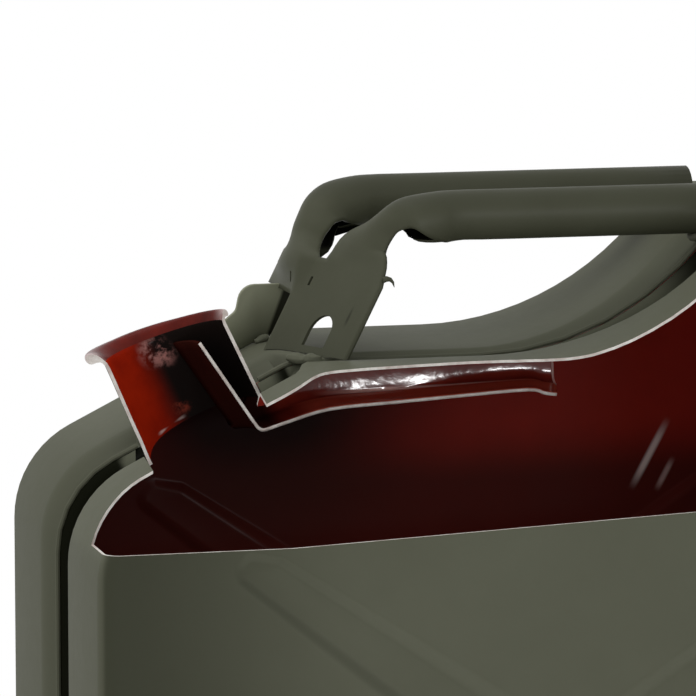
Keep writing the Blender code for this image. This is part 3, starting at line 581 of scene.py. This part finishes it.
neck = {
    "outer": 0.024, "wall": 0.0012, "lean": math.radians(25.8), "seatX": 0.0534, "below": 0.0072,
    "rise": 0.03, "tilt": math.radians(9), "tiltStart": 0.008, "frontReach": 0.0044, "rearReach": 0.0018,
    "steps": 40, "holeGap": 0.0003, "holeSteps": 160, "holeDepth": 0.12,
    "footDrop": 0.0034, "footCurl": 0.0005, "footSharp": 12, "cutRise": 0.002, "frontTaper": 0.0012,
    "heights": [-0.0042, 0.0, 0.004, 0.008, 0.015, 0.02], "outerTop": 0.0045, "innerTop": 0.0055,
    "underLip": [(0.0004, -0.0036), (0.0012, -0.0029), (0.0024, -0.0027)],  # out from the wall and up from the rim
    "overLip": [(0.0026, 0.0001), (0.0012, -0.0006), (0.0002, -0.0018)], "mouth": (0.0003, -0.0036),
    "bead": {"out": 0.0041, "up": -0.0012, "radius": 0.0015, "first": -100, "turn": 20, "count": 10},
    "lipPaintFrom": 0.0034, "lipPaintOut": 0.0001, "boreOut": 0.0004, "cutFacing": 0.999, "cutNear": 0.00001, "merge": 0.000001,
}
neck["seat"] = Vector((can["frontX"] + neck["seatX"], 0, can["frontRise"] + neck["seatX"] * math.tan(can["shoulder"])))
neck["along"] = Vector((-math.sin(neck["lean"]), 0, math.cos(neck["lean"])))
neck["across"] = Vector((math.cos(neck["lean"]), 0, math.sin(neck["lean"])))


def neckHole():
    bm = bmesh.new()
    place = Matrix.Translation(neck["seat"]) @ Matrix.Rotation(-neck["lean"], 4, "Y")
    radius = neck["outer"] + neck["holeGap"]
    bmesh.ops.create_cone(bm, cap_ends=True, segments=neck["holeSteps"], radius1=radius, radius2=radius,
                          depth=neck["holeDepth"], matrix=place)
    return meshPiece("neckHole", bm, [holeRimShade])


holeTool = neckHole()
windowTool = cutTool()
farShell = halfShell("farShell", 1, [enamel, lacquerIn, cutEdge])
cutWith(farShell, holeTool)
applied(farShell)
nearShell = halfShell("nearShell", -1, [enamelNear, lacquerIn, cutEdge])
cutWith(nearShell, windowTool)
cutWith(nearShell, holeTool)
applied(nearShell)
for shell, node in ((farShell, "far_half_shell"), (nearShell, "near_half_shell")):
    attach(shell, "root")
    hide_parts(node)
print("shells made", len(farShell.data.polygons), len(nearShell.data.polygons))


# ---- filler neck ----

def neckLine():
    # the wall and its rolled lip as (radius, height), once round
    outer, inner, top, bead = neck["outer"], neck["outer"] - neck["wall"], neck["rise"], neck["bead"]
    line = [(inner, -neck["below"]), (outer, -neck["below"])]
    line += [(outer, height) for height in (*neck["heights"], top - neck["outerTop"])]
    line += [(outer + out, top + up) for out, up in neck["underLip"]]
    for step in range(bead["count"]):  # the rolled bead, then over the top and down into the bore
        turn = math.radians(bead["first"] + bead["turn"] * step)
        line.append((outer + bead["out"] + bead["radius"] * math.cos(turn), top + bead["up"] + bead["radius"] * math.sin(turn)))
    line += [(outer + out, top + up) for out, up in neck["overLip"]] + [(inner + neck["mouth"][0], top + neck["mouth"][1])]
    return line + [(inner, height) for height in (top - neck["innerTop"], *reversed(neck["heights"]))]


def fillerNeck():
    bm = bmesh.new()
    line = neckLine()
    verts = [bm.verts.new((r, 0, h)) for r, h in line]
    edges = [bm.edges.new(pair) for pair in zip(verts, verts[1:] + verts[:1])]
    bmesh.ops.spin(bm, geom=verts + edges, angle=math.pi, steps=neck["steps"], axis=(0, 0, 1), cent=(0, 0, 0))
    merged(bm, neck["merge"])
    ends = [edge for edge in bm.edges if edge.is_boundary]
    for side in (1, -1):
        bmesh.ops.triangle_fill(bm, edges=[edge for edge in ends if edge.verts[0].co.x * side > 0], use_beauty=True)
    outward(bm)
    bm.normal_update()
    inner = neck["outer"] - neck["wall"]
    for face in bm.faces:
        middle = face.calc_center_median()
        radius = math.hypot(middle.x, middle.y)
        if abs(face.normal.y) > neck["cutFacing"] and middle.y < neck["cutNear"]:
            face.material_index = 2
        elif middle.z > neck["rise"] - neck["lipPaintFrom"] and radius > inner + neck["lipPaintOut"]:
            face.material_index = 3
        elif radius < inner + neck["boreOut"]:
            face.material_index = 1
    for vert in bm.verts:
        radius = math.hypot(vert.co.x, vert.co.y)
        front = (1 - vert.co.x / radius) / 2
        if radius > neck["outer"]:  # the lip reaches out further at the front
            reach = (neck["rearReach"] + (neck["frontReach"] - neck["rearReach"]) * front) / neck["frontReach"]
            grow = (neck["outer"] + (radius - neck["outer"]) * reach) / radius
            vert.co.x *= grow
            vert.co.y *= grow
        share = max(0, (vert.co.z - neck["tiltStart"]) / (neck["rise"] - neck["tiltStart"]))
        taper = neck["frontTaper"] * front ** 2 * ease(max(0, vert.co.z) / neck["rise"]) / radius
        lift = neck["cutRise"] * (1 - min(1, vert.co.y / neck["outer"])) * share
        if vert.co.z < -neck["below"] / 2:  # the front foot runs down and curls out to the shell
            foot = front ** neck["footSharp"]
            vert.co.z -= neck["footDrop"] * foot
            vert.co.x -= neck["footCurl"] * foot
        vert.co.z += lift - vert.co.x * math.tan(neck["tilt"]) * share
        vert.co.x *= 1 - taper
        vert.co.y *= 1 - taper
        vert.co = neck["seat"] + neck["across"] * vert.co.x + Vector((0, vert.co.y, 0)) + neck["along"] * vert.co.z
    return meshPiece("fillerNeck", bm, [enamel, lacquerNeck, cutEdge, lipPaint], smoothAngle=40)


# the uneven edges of the painted reflections in the bore
neckSheenCloud = ("cloud", 190.0, 0.41, 0.63)
lacquerNeck = paint("redLacquerNeck", [(0.36, 0.017, 0.003), (0.24, 0.011, 0.003)], 0.16, specular=0.008, cloudScale=45.0,
                    peelScale=150.0, bump=0.1, distance=0.0006, tints=[
    ((0.009, 0.0062, 0.0054), 1.0, ("slope", tuple(neck["seat"]), tuple(neck["across"]), -0.0125, 0.0005)),  # the shaded rear
    # painted reflections: pale pinkish patches in the bore
    ((0.42, 0.19, 0.17), 1.0, ("point", (-0.1306, 0.0225, 0.4108), 0.001, 0.008), neckSheenCloud),
    ((0.38, 0.17, 0.15), 1.0, ("point", (-0.1264, 0.0225, 0.409), 0.001, 0.0065), neckSheenCloud),
    ((0.26, 0.045, 0.025), 1.0, ("point", (-0.1196, 0.0222, 0.3904), 0.001, 0.005), neckSheenCloud),
    ((0.85, 0.72, 0.66), 0.9, ("line", (-0.1295, 0.018, 0.38), (-0.118, 0.0228, 0.3862), 0.0002, 0.0007)),  # a glint
])
neckPiece = fillerNeck()
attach(neckPiece, "root")
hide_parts("filler_neck")
print("neck made")


# ---- breather duct ----

duct = {
    "sheet": 0.0012, "bulge": 0.0057, "floorHalf": 0.0168, "rise": 0.001, "neckRows": 4,
    "wall": [(0.0012, 0.02), (0.0022, 0.07), (0.0028, 0.14), (0.0032, 0.24), (0.0035, 0.36), (0.0037, 0.6), (0.0038, 1.0)],
    "plan": 0.0011, "planMiddle": 0.131, "endSlide": 0.0045, "planHalf": 0.03,
    "line": [(0.0548, 0.4163), (0.0622, 0.4054), (0.0695, 0.3946), (0.0755, 0.3858), (0.0775, 0.3836), (0.08, 0.3834),
             (0.088, 0.3858), (0.1042, 0.39), (0.1305, 0.3917), (0.156, 0.3932), (0.1799, 0.3944), (0.1865, 0.3929),
             (0.1912, 0.3922)],
    "between": 4, "shares": [0, 0.18, 0.36, 0.53, 0.7, 0.85, 1.0], "blendRows": 3, "edgeGap": 0.0003, "flatShare": 0.36,
    "planLimit": 1.5, "planSteep": 5, "slideFrom": 0.15, "slideOver": 0.04,
    "roofLead": 0.01, "roofBlend": 0.016, "roofInset": 0.001, "roofGap": 0.0003, "bareHalf": 0.0012, "bareEnd": 0.01,
    "merge": 0.00002, "least": 0.00001,
}


def roofOver(x):
    # the highest that the duct's wall may reach under the sheet
    breakX = (can["deck"] - can["frontRise"]) / math.tan(can["shoulder"])
    lean = can["shoulder"] if x < breakX else 0
    depth, floor, mouth = channelAt(ease((breakX + duct["roofLead"] - x) / duct["roofBlend"]))
    sunk = depth * (1 - ease((duct["floorHalf"] + duct["wall"][-1][0] - duct["roofInset"] - floor) / (mouth - floor)))
    roof = min(can["deck"], can["frontRise"] + x * math.tan(can["shoulder"]))
    return roof - (sunk + can["sheet"] + duct["roofGap"]) / math.cos(lean) - duct["sheet"] / 2


def ductPiece():
    line = smoothCurve(duct["line"], duct["between"])
    limit = neck["outer"] - neck["wall"] - duct["edgeGap"] - duct["sheet"]
    loops = []
    for index, (x, z) in enumerate(line):
        place = Vector((can["frontX"] + x, 0, z))
        share = ease((index / duct["between"] - duct["neckRows"] + 1) / duct["blendRows"])
        before, after = around(line, index)
        way = (after - before).normalized()
        up = Vector((-way.y, 0, way.x))
        edgeAcross = (place - neck["seat"]).dot(neck["across"]) - duct["bulge"]
        neckHalf = math.sqrt(limit ** 2 - min(abs(edgeAcross), limit) ** 2)
        loop = []
        for side in duct["shares"]:
            inNeck = place + Vector((0, neckHalf * side, 0)) - neck["across"] * duct["bulge"] * side ** 2
            lift = duct["rise"] * ease(max(0, side - duct["flatShare"]) / (1 - duct["flatShare"]))
            slide = duct["endSlide"] * ease((x - duct["slideFrom"]) / duct["slideOver"]) * side  # the end is cut at a slant
            flat = place + Vector((slide, duct["floorHalf"] * side, 0)) + up * lift
            loop.append(inNeck.lerp(flat, share))
        last = loop[-1]
        height = roofOver(x) - last.z
        plan = duct["plan"] * (min(duct["planLimit"], ((x - duct["planMiddle"]) / duct["planHalf"]) ** 2) - 1)
        for out, rise in duct["wall"]:  # a nearly upright wall, slightly bowed along its length
            loop.append(last + Vector((0, out + plan * ease(rise * duct["planSteep"]), height * rise)) * share)
        loops.append(loop)
    bm = bmesh.new()
    bridged(bm, loops, False)
    merged(bm, duct["merge"])
    bmesh.ops.dissolve_degenerate(bm, edges=bm.edges, dist=duct["least"])
    outward(bm)
    piece = meshPiece("breatherDuct", bm, [lacquerDuct, cutEdge], smoothAngle=40)
    sheet(piece, duct["sheet"], 0, rim=1)
    applied(piece)
    for face in piece.data.polygons:  # only the sectioned edge and the end are bare
        if face.material_index == 1 and face.center.y > duct["bareHalf"] and face.center.x < duct["bareEnd"]:
            face.material_index = 0
    return piece


breather = ductPiece()
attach(breather, "root")
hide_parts("breather_duct")
print("duct made")


# ---- handles and bracket, one rolled sheet ----

grip = {
    "top": 0.47, "tube": 0.0188, "sheet": 0.0013, "spacing": 0.0595, "seam": 0.0012, "rearX": 0.26, "half": 12,
    "plan": [(0.1075, -0.0113), (0.0873, 0.031), (0.0873, 0.066)], "lean": 0.5, "split": 0.443, "low": 0.3995,
    "splitY": 0.0222, "gap": 0.0012, "wingY": 0.031, "wingLow": 0.429, "wingSteps": 5, "rows": 8,
    # each state of a rolled leg: its place, the width of its arc, how far it wraps and its slant
    "centre": [((0.117, 0.0078, 0.45), 0.028, 38, 23), ((0.1202, 0.0056, 0.456), 0.024, 70, 16),
               ((0.124, 0.0032, 0.462), 0.028, 140, -2), ((0.1306, 0.001, 0.4672), 0.0385, 215, -14),
               ((0.142, 0, 0.4694), 0.049, 294, -8)],
    "far": [((0.1034, 0.0545, 0.45), 0.041, 185, -24), ((0.1062, 0.0565, 0.456), 0.0415, 200, -22),
            ((0.11, 0.0585, 0.4622), 0.043, 220, -18), ((0.1165, 0.0594, 0.467), 0.046, 250, -15),
            ((0.1265, 0.0595, 0.4694), 0.0495, 294, -8)],
    "between": 4, "startDrop": 0.007, "startWrap": 0.35, "leastWrap": 0.02, "rearSteps": (0.01, 0.03), "past": 0.1,
    "foldRows": 6,
    "farY": 0.0262, "curlLow": 0.4295, "backLow": 0.437, "curl": 70, "curlBack": 0.0026, "curlIn": 0.0015,
    "taper": 0.0027, "taperLow": 0.436, "taperReach": 0.022, "merge": 0.00003, "leastCurl": 0.001,
    "arch": {"near": 0.0024, "far": 0.0136, "low": 0.4122, "spring": 0.4175, "top": 0.4236, "steps": 16},
    "slots": {"slotOne": (0.0236, 0.4329), "slotTwo": (0.035, 0.4326)}, "slotSize": (0.0012, 0.0032), "holeDepth": 0.012,
    "canHalf": 0.12, "canGap": 0.0003,
    "burr": [((0.1212, 0.4388), 0.0012), ((0.1226, 0.4392), 0.0011), ((0.124, 0.4389), 0.0008),
             ((0.125, 0.4378), 0.0005), ((0.1255, 0.436), 0.0001)],
    "burrSides": 10, "burrFlat": 0.7,
}


def onBracket(y, z):
    # the leaf: a slanted part and a straight one, leaning back as it rises
    plan = grip["plan"]
    (firstX, firstY), (secondX, secondY) = plan[0:2] if y <= plan[1][1] else plan[1:3]
    share = (y - firstY) / (secondY - firstY)
    return Vector((can["frontX"] + firstX + (secondX - firstX) * share + grip["lean"] * (z - can["deck"]), y, z))


def curled(y, z):
    # the near edge draws in above the tear, and the far part begins to roll below the split
    near, last = grip["plan"][0][1], grip["plan"][2][1]
    taper = grip["taper"] * min(1, max(0, (z - grip["taperLow"]) / (grip["split"] - grip["taperLow"])))
    point = onBracket(y + taper * (1 - ease((y - near) / grip["taperReach"])), z)
    share = (y - grip["farY"]) / (last - grip["farY"])
    grow = ease((z - grip["backLow"]) / (grip["split"] - grip["backLow"]))
    wrap = math.radians(grip["curl"]) * ease((z - grip["curlLow"]) / (grip["split"] - grip["curlLow"]))
    if share > 0 and wrap > grip["leastCurl"]:
        radius = (last - grip["farY"]) / 2 / math.sin(wrap / 2)
        point.x -= radius * (math.cos(wrap * (share - 0.5)) - math.cos(wrap / 2)) - grip["curlBack"] * share ** 2 * grow
        point.y -= grip["curlIn"] * share ** 2 * grow
    return point


def legLoops(middle, ys, curl, rolling):
    # rows of a leg from the leaf's split edge, up and over into the closed tube
    count = len(ys) - 1
    ring = grip["tube"] / 2 - grip["sheet"] / 2
    full = 2 * math.pi - 2 * grip["seam"] / grip["tube"]
    top = grip["top"] - grip["sheet"] / 2
    states = []
    for z, wrap in ((grip["split"] - grip["startDrop"], grip["startWrap"] * curl), (grip["split"], curl)):
        near, far, mid = curled(ys[0], z), curled(ys[-1], z), curled((ys[0] + ys[-1]) / 2, z)
        half = math.radians(wrap) / 2
        width = (far - near).length * (half / math.sin(half) if half else 1)
        states.append([*mid, width, 2 * half, math.degrees(math.atan2(near.x - far.x, far.y - near.y))])
    for (x, y, z), width, wrap, slant in rolling:
        states.append([can["frontX"] + x, y, z - grip["sheet"] / 2, width, math.radians(wrap), slant])
    bend = rolling[-1][0][0]
    for x in (*(bend + step for step in grip["rearSteps"]), grip["rearX"], grip["rearX"] + grip["past"]):
        states.append([can["frontX"] + x, middle, top, ring * full, full, 0])
    fine = smoothStates(states, grip["between"])
    row = [curled(value, grip["split"]) for value in ys]
    loops = []
    for index, (x, y, z, width, wrap, slant) in enumerate(fine):
        before, after = around(fine, index)
        way = Vector((after[0] - before[0], 0, after[2] - before[2])).normalized()
        below = Vector((way.z, 0, -way.x))
        slant = math.radians(slant)
        across = Vector((0, math.cos(slant), 0)) - below * math.sin(slant)
        inward = below * math.cos(slant) + Vector((0, math.sin(slant), 0))
        wrap = max(wrap, grip["leastWrap"])
        radius = width / wrap
        loop = [Vector((x, y, z)) + across * radius * math.sin(turn) + inward * radius * (1 - math.cos(turn))
                for turn in (wrap * (step / count - 0.5) for step in range(count + 1))]
        if index == 0:
            fold = [a - b for a, b in zip(row, loop)]
        keep = 1 - ease(index / grip["foldRows"])  # the first rows keep the leaf's own fold
        loops.append([a + b * keep for a, b in zip(loop, fold)])
    return loops


def hole(name, points):
    # a tool that stands square through the leaf
    places = [onBracket(y, z) for y, z in points]
    way = normal(places) * grip["holeDepth"]
    return meshPiece(name, prism([place - way / 2 for place in places], way), [enamelHandlesShaded])


def archPoints():
    arch = grip["arch"]
    middle, half = (arch["near"] + arch["far"]) / 2, (arch["far"] - arch["near"]) / 2
    curve = [(middle - half * math.cos(turn), arch["spring"] + (arch["top"] - arch["spring"]) * math.sin(turn))
             for turn in spaced(0, math.pi, arch["steps"])]
    return [(arch["near"], arch["low"])] + curve + [(arch["far"], arch["low"])]


def slotPoints(y, z):
    wide, high = grip["slotSize"]
    return [(y, z), (y, z + high), (y + wide, z + high), (y + wide, z)]


def canSolid():
    # the can as one prism, a little larger, which trims the pieces that stand on it
    half = grip["canHalf"]
    points = [onCan(place, inward, -grip["canGap"], -half) for place, inward, _ in outline]
    return meshPiece("canSolid", prism(points, (0, 2 * half, 0)), [enamelHandlesShaded])


def addBurr(piece):
    # the torn burr at the near edge, a small closed horn
    bm = bmesh.new()
    bm.from_mesh(piece.data)
    places = [(Vector((can["frontX"] + x, grip["plan"][0][1], z)), radius) for (x, z), radius in grip["burr"]]
    rings = []
    for index, (place, radius) in enumerate(places):
        (before, _), (after, _) = around(places, index)
        side = (after - before).normalized().cross(Vector((0, 1, 0)))
        rings.append([place + Vector((0, math.sin(turn) * radius * grip["burrFlat"], 0)) + side * math.cos(turn) * radius
                      for turn in spaced(0, math.tau, grip["burrSides"])[:-1]])
    grid, _, _ = stripped(bm, rings)
    bm.faces.new(grid[0])
    bm.faces.new(grid[-1])
    bmesh.ops.recalc_face_normals(bm, faces=list({face for ring in grid for vert in ring for face in vert.link_faces}))
    bm.to_mesh(piece.data)
    bm.free()


def handleFrame():
    bm = bmesh.new()
    centreYs = spaced(grip["plan"][0][1], grip["splitY"] - grip["gap"] / 2, 2 * grip["half"])
    farYs = spaced(grip["farY"], grip["wingY"], grip["wingSteps"])[:-1]
    farYs += spaced(grip["wingY"], grip["plan"][2][1], 2 * grip["half"] - grip["wingSteps"])
    bridged(bm, legLoops(0, centreYs, 0, grip["centre"]), False)
    bridged(bm, legLoops(grip["spacing"], farYs, grip["curl"], grip["far"]), False)
    nearYs = centreYs + [y for y in farYs if y <= grip["wingY"]]
    bridged(bm, [[onBracket(y, z) for y in nearYs] for z in spaced(grip["low"], grip["wingLow"], grip["rows"])], False)
    allYs = centreYs + farYs
    bridged(bm, [[curled(y, z) for y in allYs] for z in spaced(grip["wingLow"], grip["split"], grip["rows"])], False)
    merged(bm, grip["merge"])
    outward(bm)
    bm.normal_update()
    if max(bm.faces, key=lambda face: face.calc_center_median().z).normal.z < 0:
        bmesh.ops.reverse_faces(bm, faces=bm.faces)
    piece = meshPiece("handleFrame", bm, [enamelHandlesShaded, enamelHandlesInnerShade], smoothAngle=60)
    sheet(piece, grip["sheet"], 0, inner=1)
    slots = [hole(name, slotPoints(*corner)) for name, corner in grip["slots"].items()]
    for tool in (hole("archTool", archPoints()), *slots, canSolid()):
        cutWith(piece, tool)
        tools.append(tool)
    applied(piece)
    addBurr(piece)
    return piece


tools = [holeTool, windowTool]
handles = handleFrame()
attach(handles, "root")
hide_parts("handle_bracket", "centre_handle", "far_handle")
print("handles made")


# ---- hinge ear ----

ear = {
    "sheet": 0.0024, "y": 0.051, "edge": 0.0004,
    "corners": [(0.07, 0.39, 0.0), (0.074, 0.4158, 0.003), (0.0802, 0.4208, 0.003), (0.0822, 0.4306, 0.0065),
                (0.0992, 0.4306, 0.001), (0.1036, 0.4256, 0.0018), (0.0908, 0.4075, 0.006), (0.0898, 0.39, 0.0)],
    "tolerance": 0.00005, "sharp": 0.9, "edgeSteps": 3,
}


def hingeEar():
    loop = roundedLoop(ear["corners"], ear["tolerance"])
    bm = prism([(can["frontX"] + place.x, ear["y"] - ear["sheet"] / 2, place.y) for place in loop], (0, ear["sheet"], 0))
    rims = [edge for edge in bm.edges if edge.calc_face_angle(0) > ear["sharp"]]
    bmesh.ops.bevel(bm, geom=rims, offset=ear["edge"], affect="EDGES", segments=ear["edgeSteps"], profile=0.5, material=-1)
    piece = meshPiece("hingeEar", bm, [enamelEarLit], smoothAngle=35)
    cutWith(piece, tools[-1])
    return applied(piece)


earPiece = hingeEar()
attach(earPiece, "root")
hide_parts("far_hinge_ear")
for tool in tools:
    bpy.data.objects.remove(tool, do_unlink=True)
print("ear made")


# ---- welds, as uneven beads over the plain ones ----

welds = {
    "bracket_foot_weld": {"grow": 0.0005, "lump": 0.0012, "edge": 0.0009, "scale": 260,
                          "stretch": (1.35, 0.66, 0.72), "shift": (-0.006, -0.0022, -0.0024)},
    "ear_weld": {"grow": 0.0004, "lump": 0.0009, "edge": 0.0007, "scale": 300,
                 "stretch": (0.85, 1.2, 0.8), "shift": (0.0018, -0.001, -0.0004)},
    "centre_handle_weld": {"grow": 0.0002, "lump": 0.0004, "edge": 0.001, "scale": 400},
    "far_handle_weld": {"grow": 0.0002, "lump": 0.0004, "edge": 0.001, "scale": 400},
    "neck_weld": {"grow": 0.0001, "lump": 0.0003, "edge": 0.0012, "scale": 400},
}
beads = {"merge": 0.00001, "splits": 5, "smooths": 3}


def lumpyBead(name, values):
    # a finer, uneven copy of the plain bead
    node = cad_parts[name]
    bm = bmesh.new()
    bm.from_mesh(node.data)
    bm.transform(node.matrix_world)
    if "stretch" in values:
        middle = sum((vert.co for vert in bm.verts), Vector()) / len(bm.verts)
        for vert in bm.verts:
            vert.co = middle + (vert.co - middle) * Vector(values["stretch"]) + Vector(values["shift"])
    merged(bm, beads["merge"])
    for _ in range(beads["splits"]):
        long = [edge for edge in bm.edges if edge.calc_length() > values["edge"]]
        if long:
            bmesh.ops.subdivide_edges(bm, edges=long, cuts=1, use_grid_fill=True)
            bmesh.ops.triangulate(bm, faces=bm.faces)
    for _ in range(beads["smooths"]):
        bmesh.ops.smooth_vert(bm, verts=bm.verts, factor=0.5, use_axis_x=True, use_axis_y=True, use_axis_z=True)
    outward(bm)
    bm.normal_update()
    moves = [vert.normal * (values["grow"] + values["lump"] * noise.noise(vert.co * values["scale"])) for vert in bm.verts]
    for vert, move in zip(bm.verts, moves):
        vert.co += move
    first, *rest = name.split("_")
    return meshPiece(first + "".join(word.capitalize() for word in rest) + "Bead", bm, [enamel], smoothAngle=60)


for name, values in welds.items():
    weldPiece = lumpyBead(name, values)
    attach(weldPiece, "root")
    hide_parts(name)
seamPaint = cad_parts["seam_weld"].data.materials
seamPaint.clear()
seamPaint.append(enamel)
print("welds made")


# ---- stage, light and camera ----

stage = {
    "floorRadius": 1.15, "floorSides": 96, "floorColour": (0.86, 0.86, 0.85, 1), "floorRough": 0.8, "skyOnDiffuse": 0.82,
    "lamps": {
        "skyBox": {"place": (-0.5, 0.1, 1.9), "target": (0, 0, 0.35), "size": (1.4, 1.4), "power": 8},
        "sideBox": {"place": (-2.0, -0.6, 0.7), "target": (0, 0, 0.3), "size": (1.2, 1.6), "power": 1},
        "glintBox": {"place": (0.47, -1.9, 0.7), "target": (0, 0, 0.4), "size": (0.34, 0.12), "power": 18},
    },
}
floorMesh = bmesh.new()
bmesh.ops.create_circle(floorMesh, cap_ends=True, segments=stage["floorSides"], radius=stage["floorRadius"])
paleFloor = newMaterial("paleFloor", Roughness=stage["floorRough"], Base_Color=stage["floorColour"])
floor = meshPiece("floor", floorMesh, [paleFloor])

world = bpy.data.worlds.new("studio")
scene.world = world
world.use_nodes = True
sky = world.node_tree
background = sky.nodes["Background"]
background.inputs["Color"].default_value = (1, 1, 1, 1)
rays = addNode(sky, "LightPath")
seen, seenToo = (addNode(sky, "Math", operation="MAXIMUM") for _ in range(2))
strength = addNode(sky, "MapRange", **{"To Min": stage["skyOnDiffuse"], "To Max": 1.0})
linkAll(sky, [
    (rays.outputs["Is Camera Ray"], seen.inputs[0]), (rays.outputs["Is Glossy Ray"], seen.inputs[1]),
    (seen.outputs[0], seenToo.inputs[0]), (rays.outputs["Is Transmission Ray"], seenToo.inputs[1]),
    (seenToo.outputs[0], strength.inputs["Value"]), (strength.outputs[0], background.inputs["Strength"]),
])


def lamp(name, values):
    data = bpy.data.lights.new(name, "AREA")
    data.shape = "RECTANGLE"
    data.size, data.size_y = values["size"]
    data.energy = values["power"]
    item = newObject(name, data)
    item.location = values["place"]
    item.rotation_euler = (Vector(values["target"]) - item.location).to_track_quat("-Z", "Y").to_euler()
    return item


lamps = {name: lamp(name, values) for name, values in stage["lamps"].items()}
lamps["glintBox"].visible_diffuse = False  # it shines on gloss only

view = {"azimuth": -14.3, "elevation": 8.05, "place": (-0.5501, -1.9163, 0.6922), "focalPixels": 5420, "imageWidth": 696,
        "sensor": 36, "clip": (0.05, 50)}
cameraData = bpy.data.cameras.new("photoCamera")
cameraData.sensor_width = view["sensor"]
cameraData.lens = view["focalPixels"] / view["imageWidth"] * view["sensor"]
cameraData.clip_start, cameraData.clip_end = view["clip"]
camera = newObject("photoCamera", cameraData)
camera.location = view["place"]
camera.rotation_euler = (math.radians(90 - view["elevation"]), 0, math.radians(view["azimuth"]))
scene.camera = camera
scene.view_settings.view_transform = "Standard"
print("stage made")
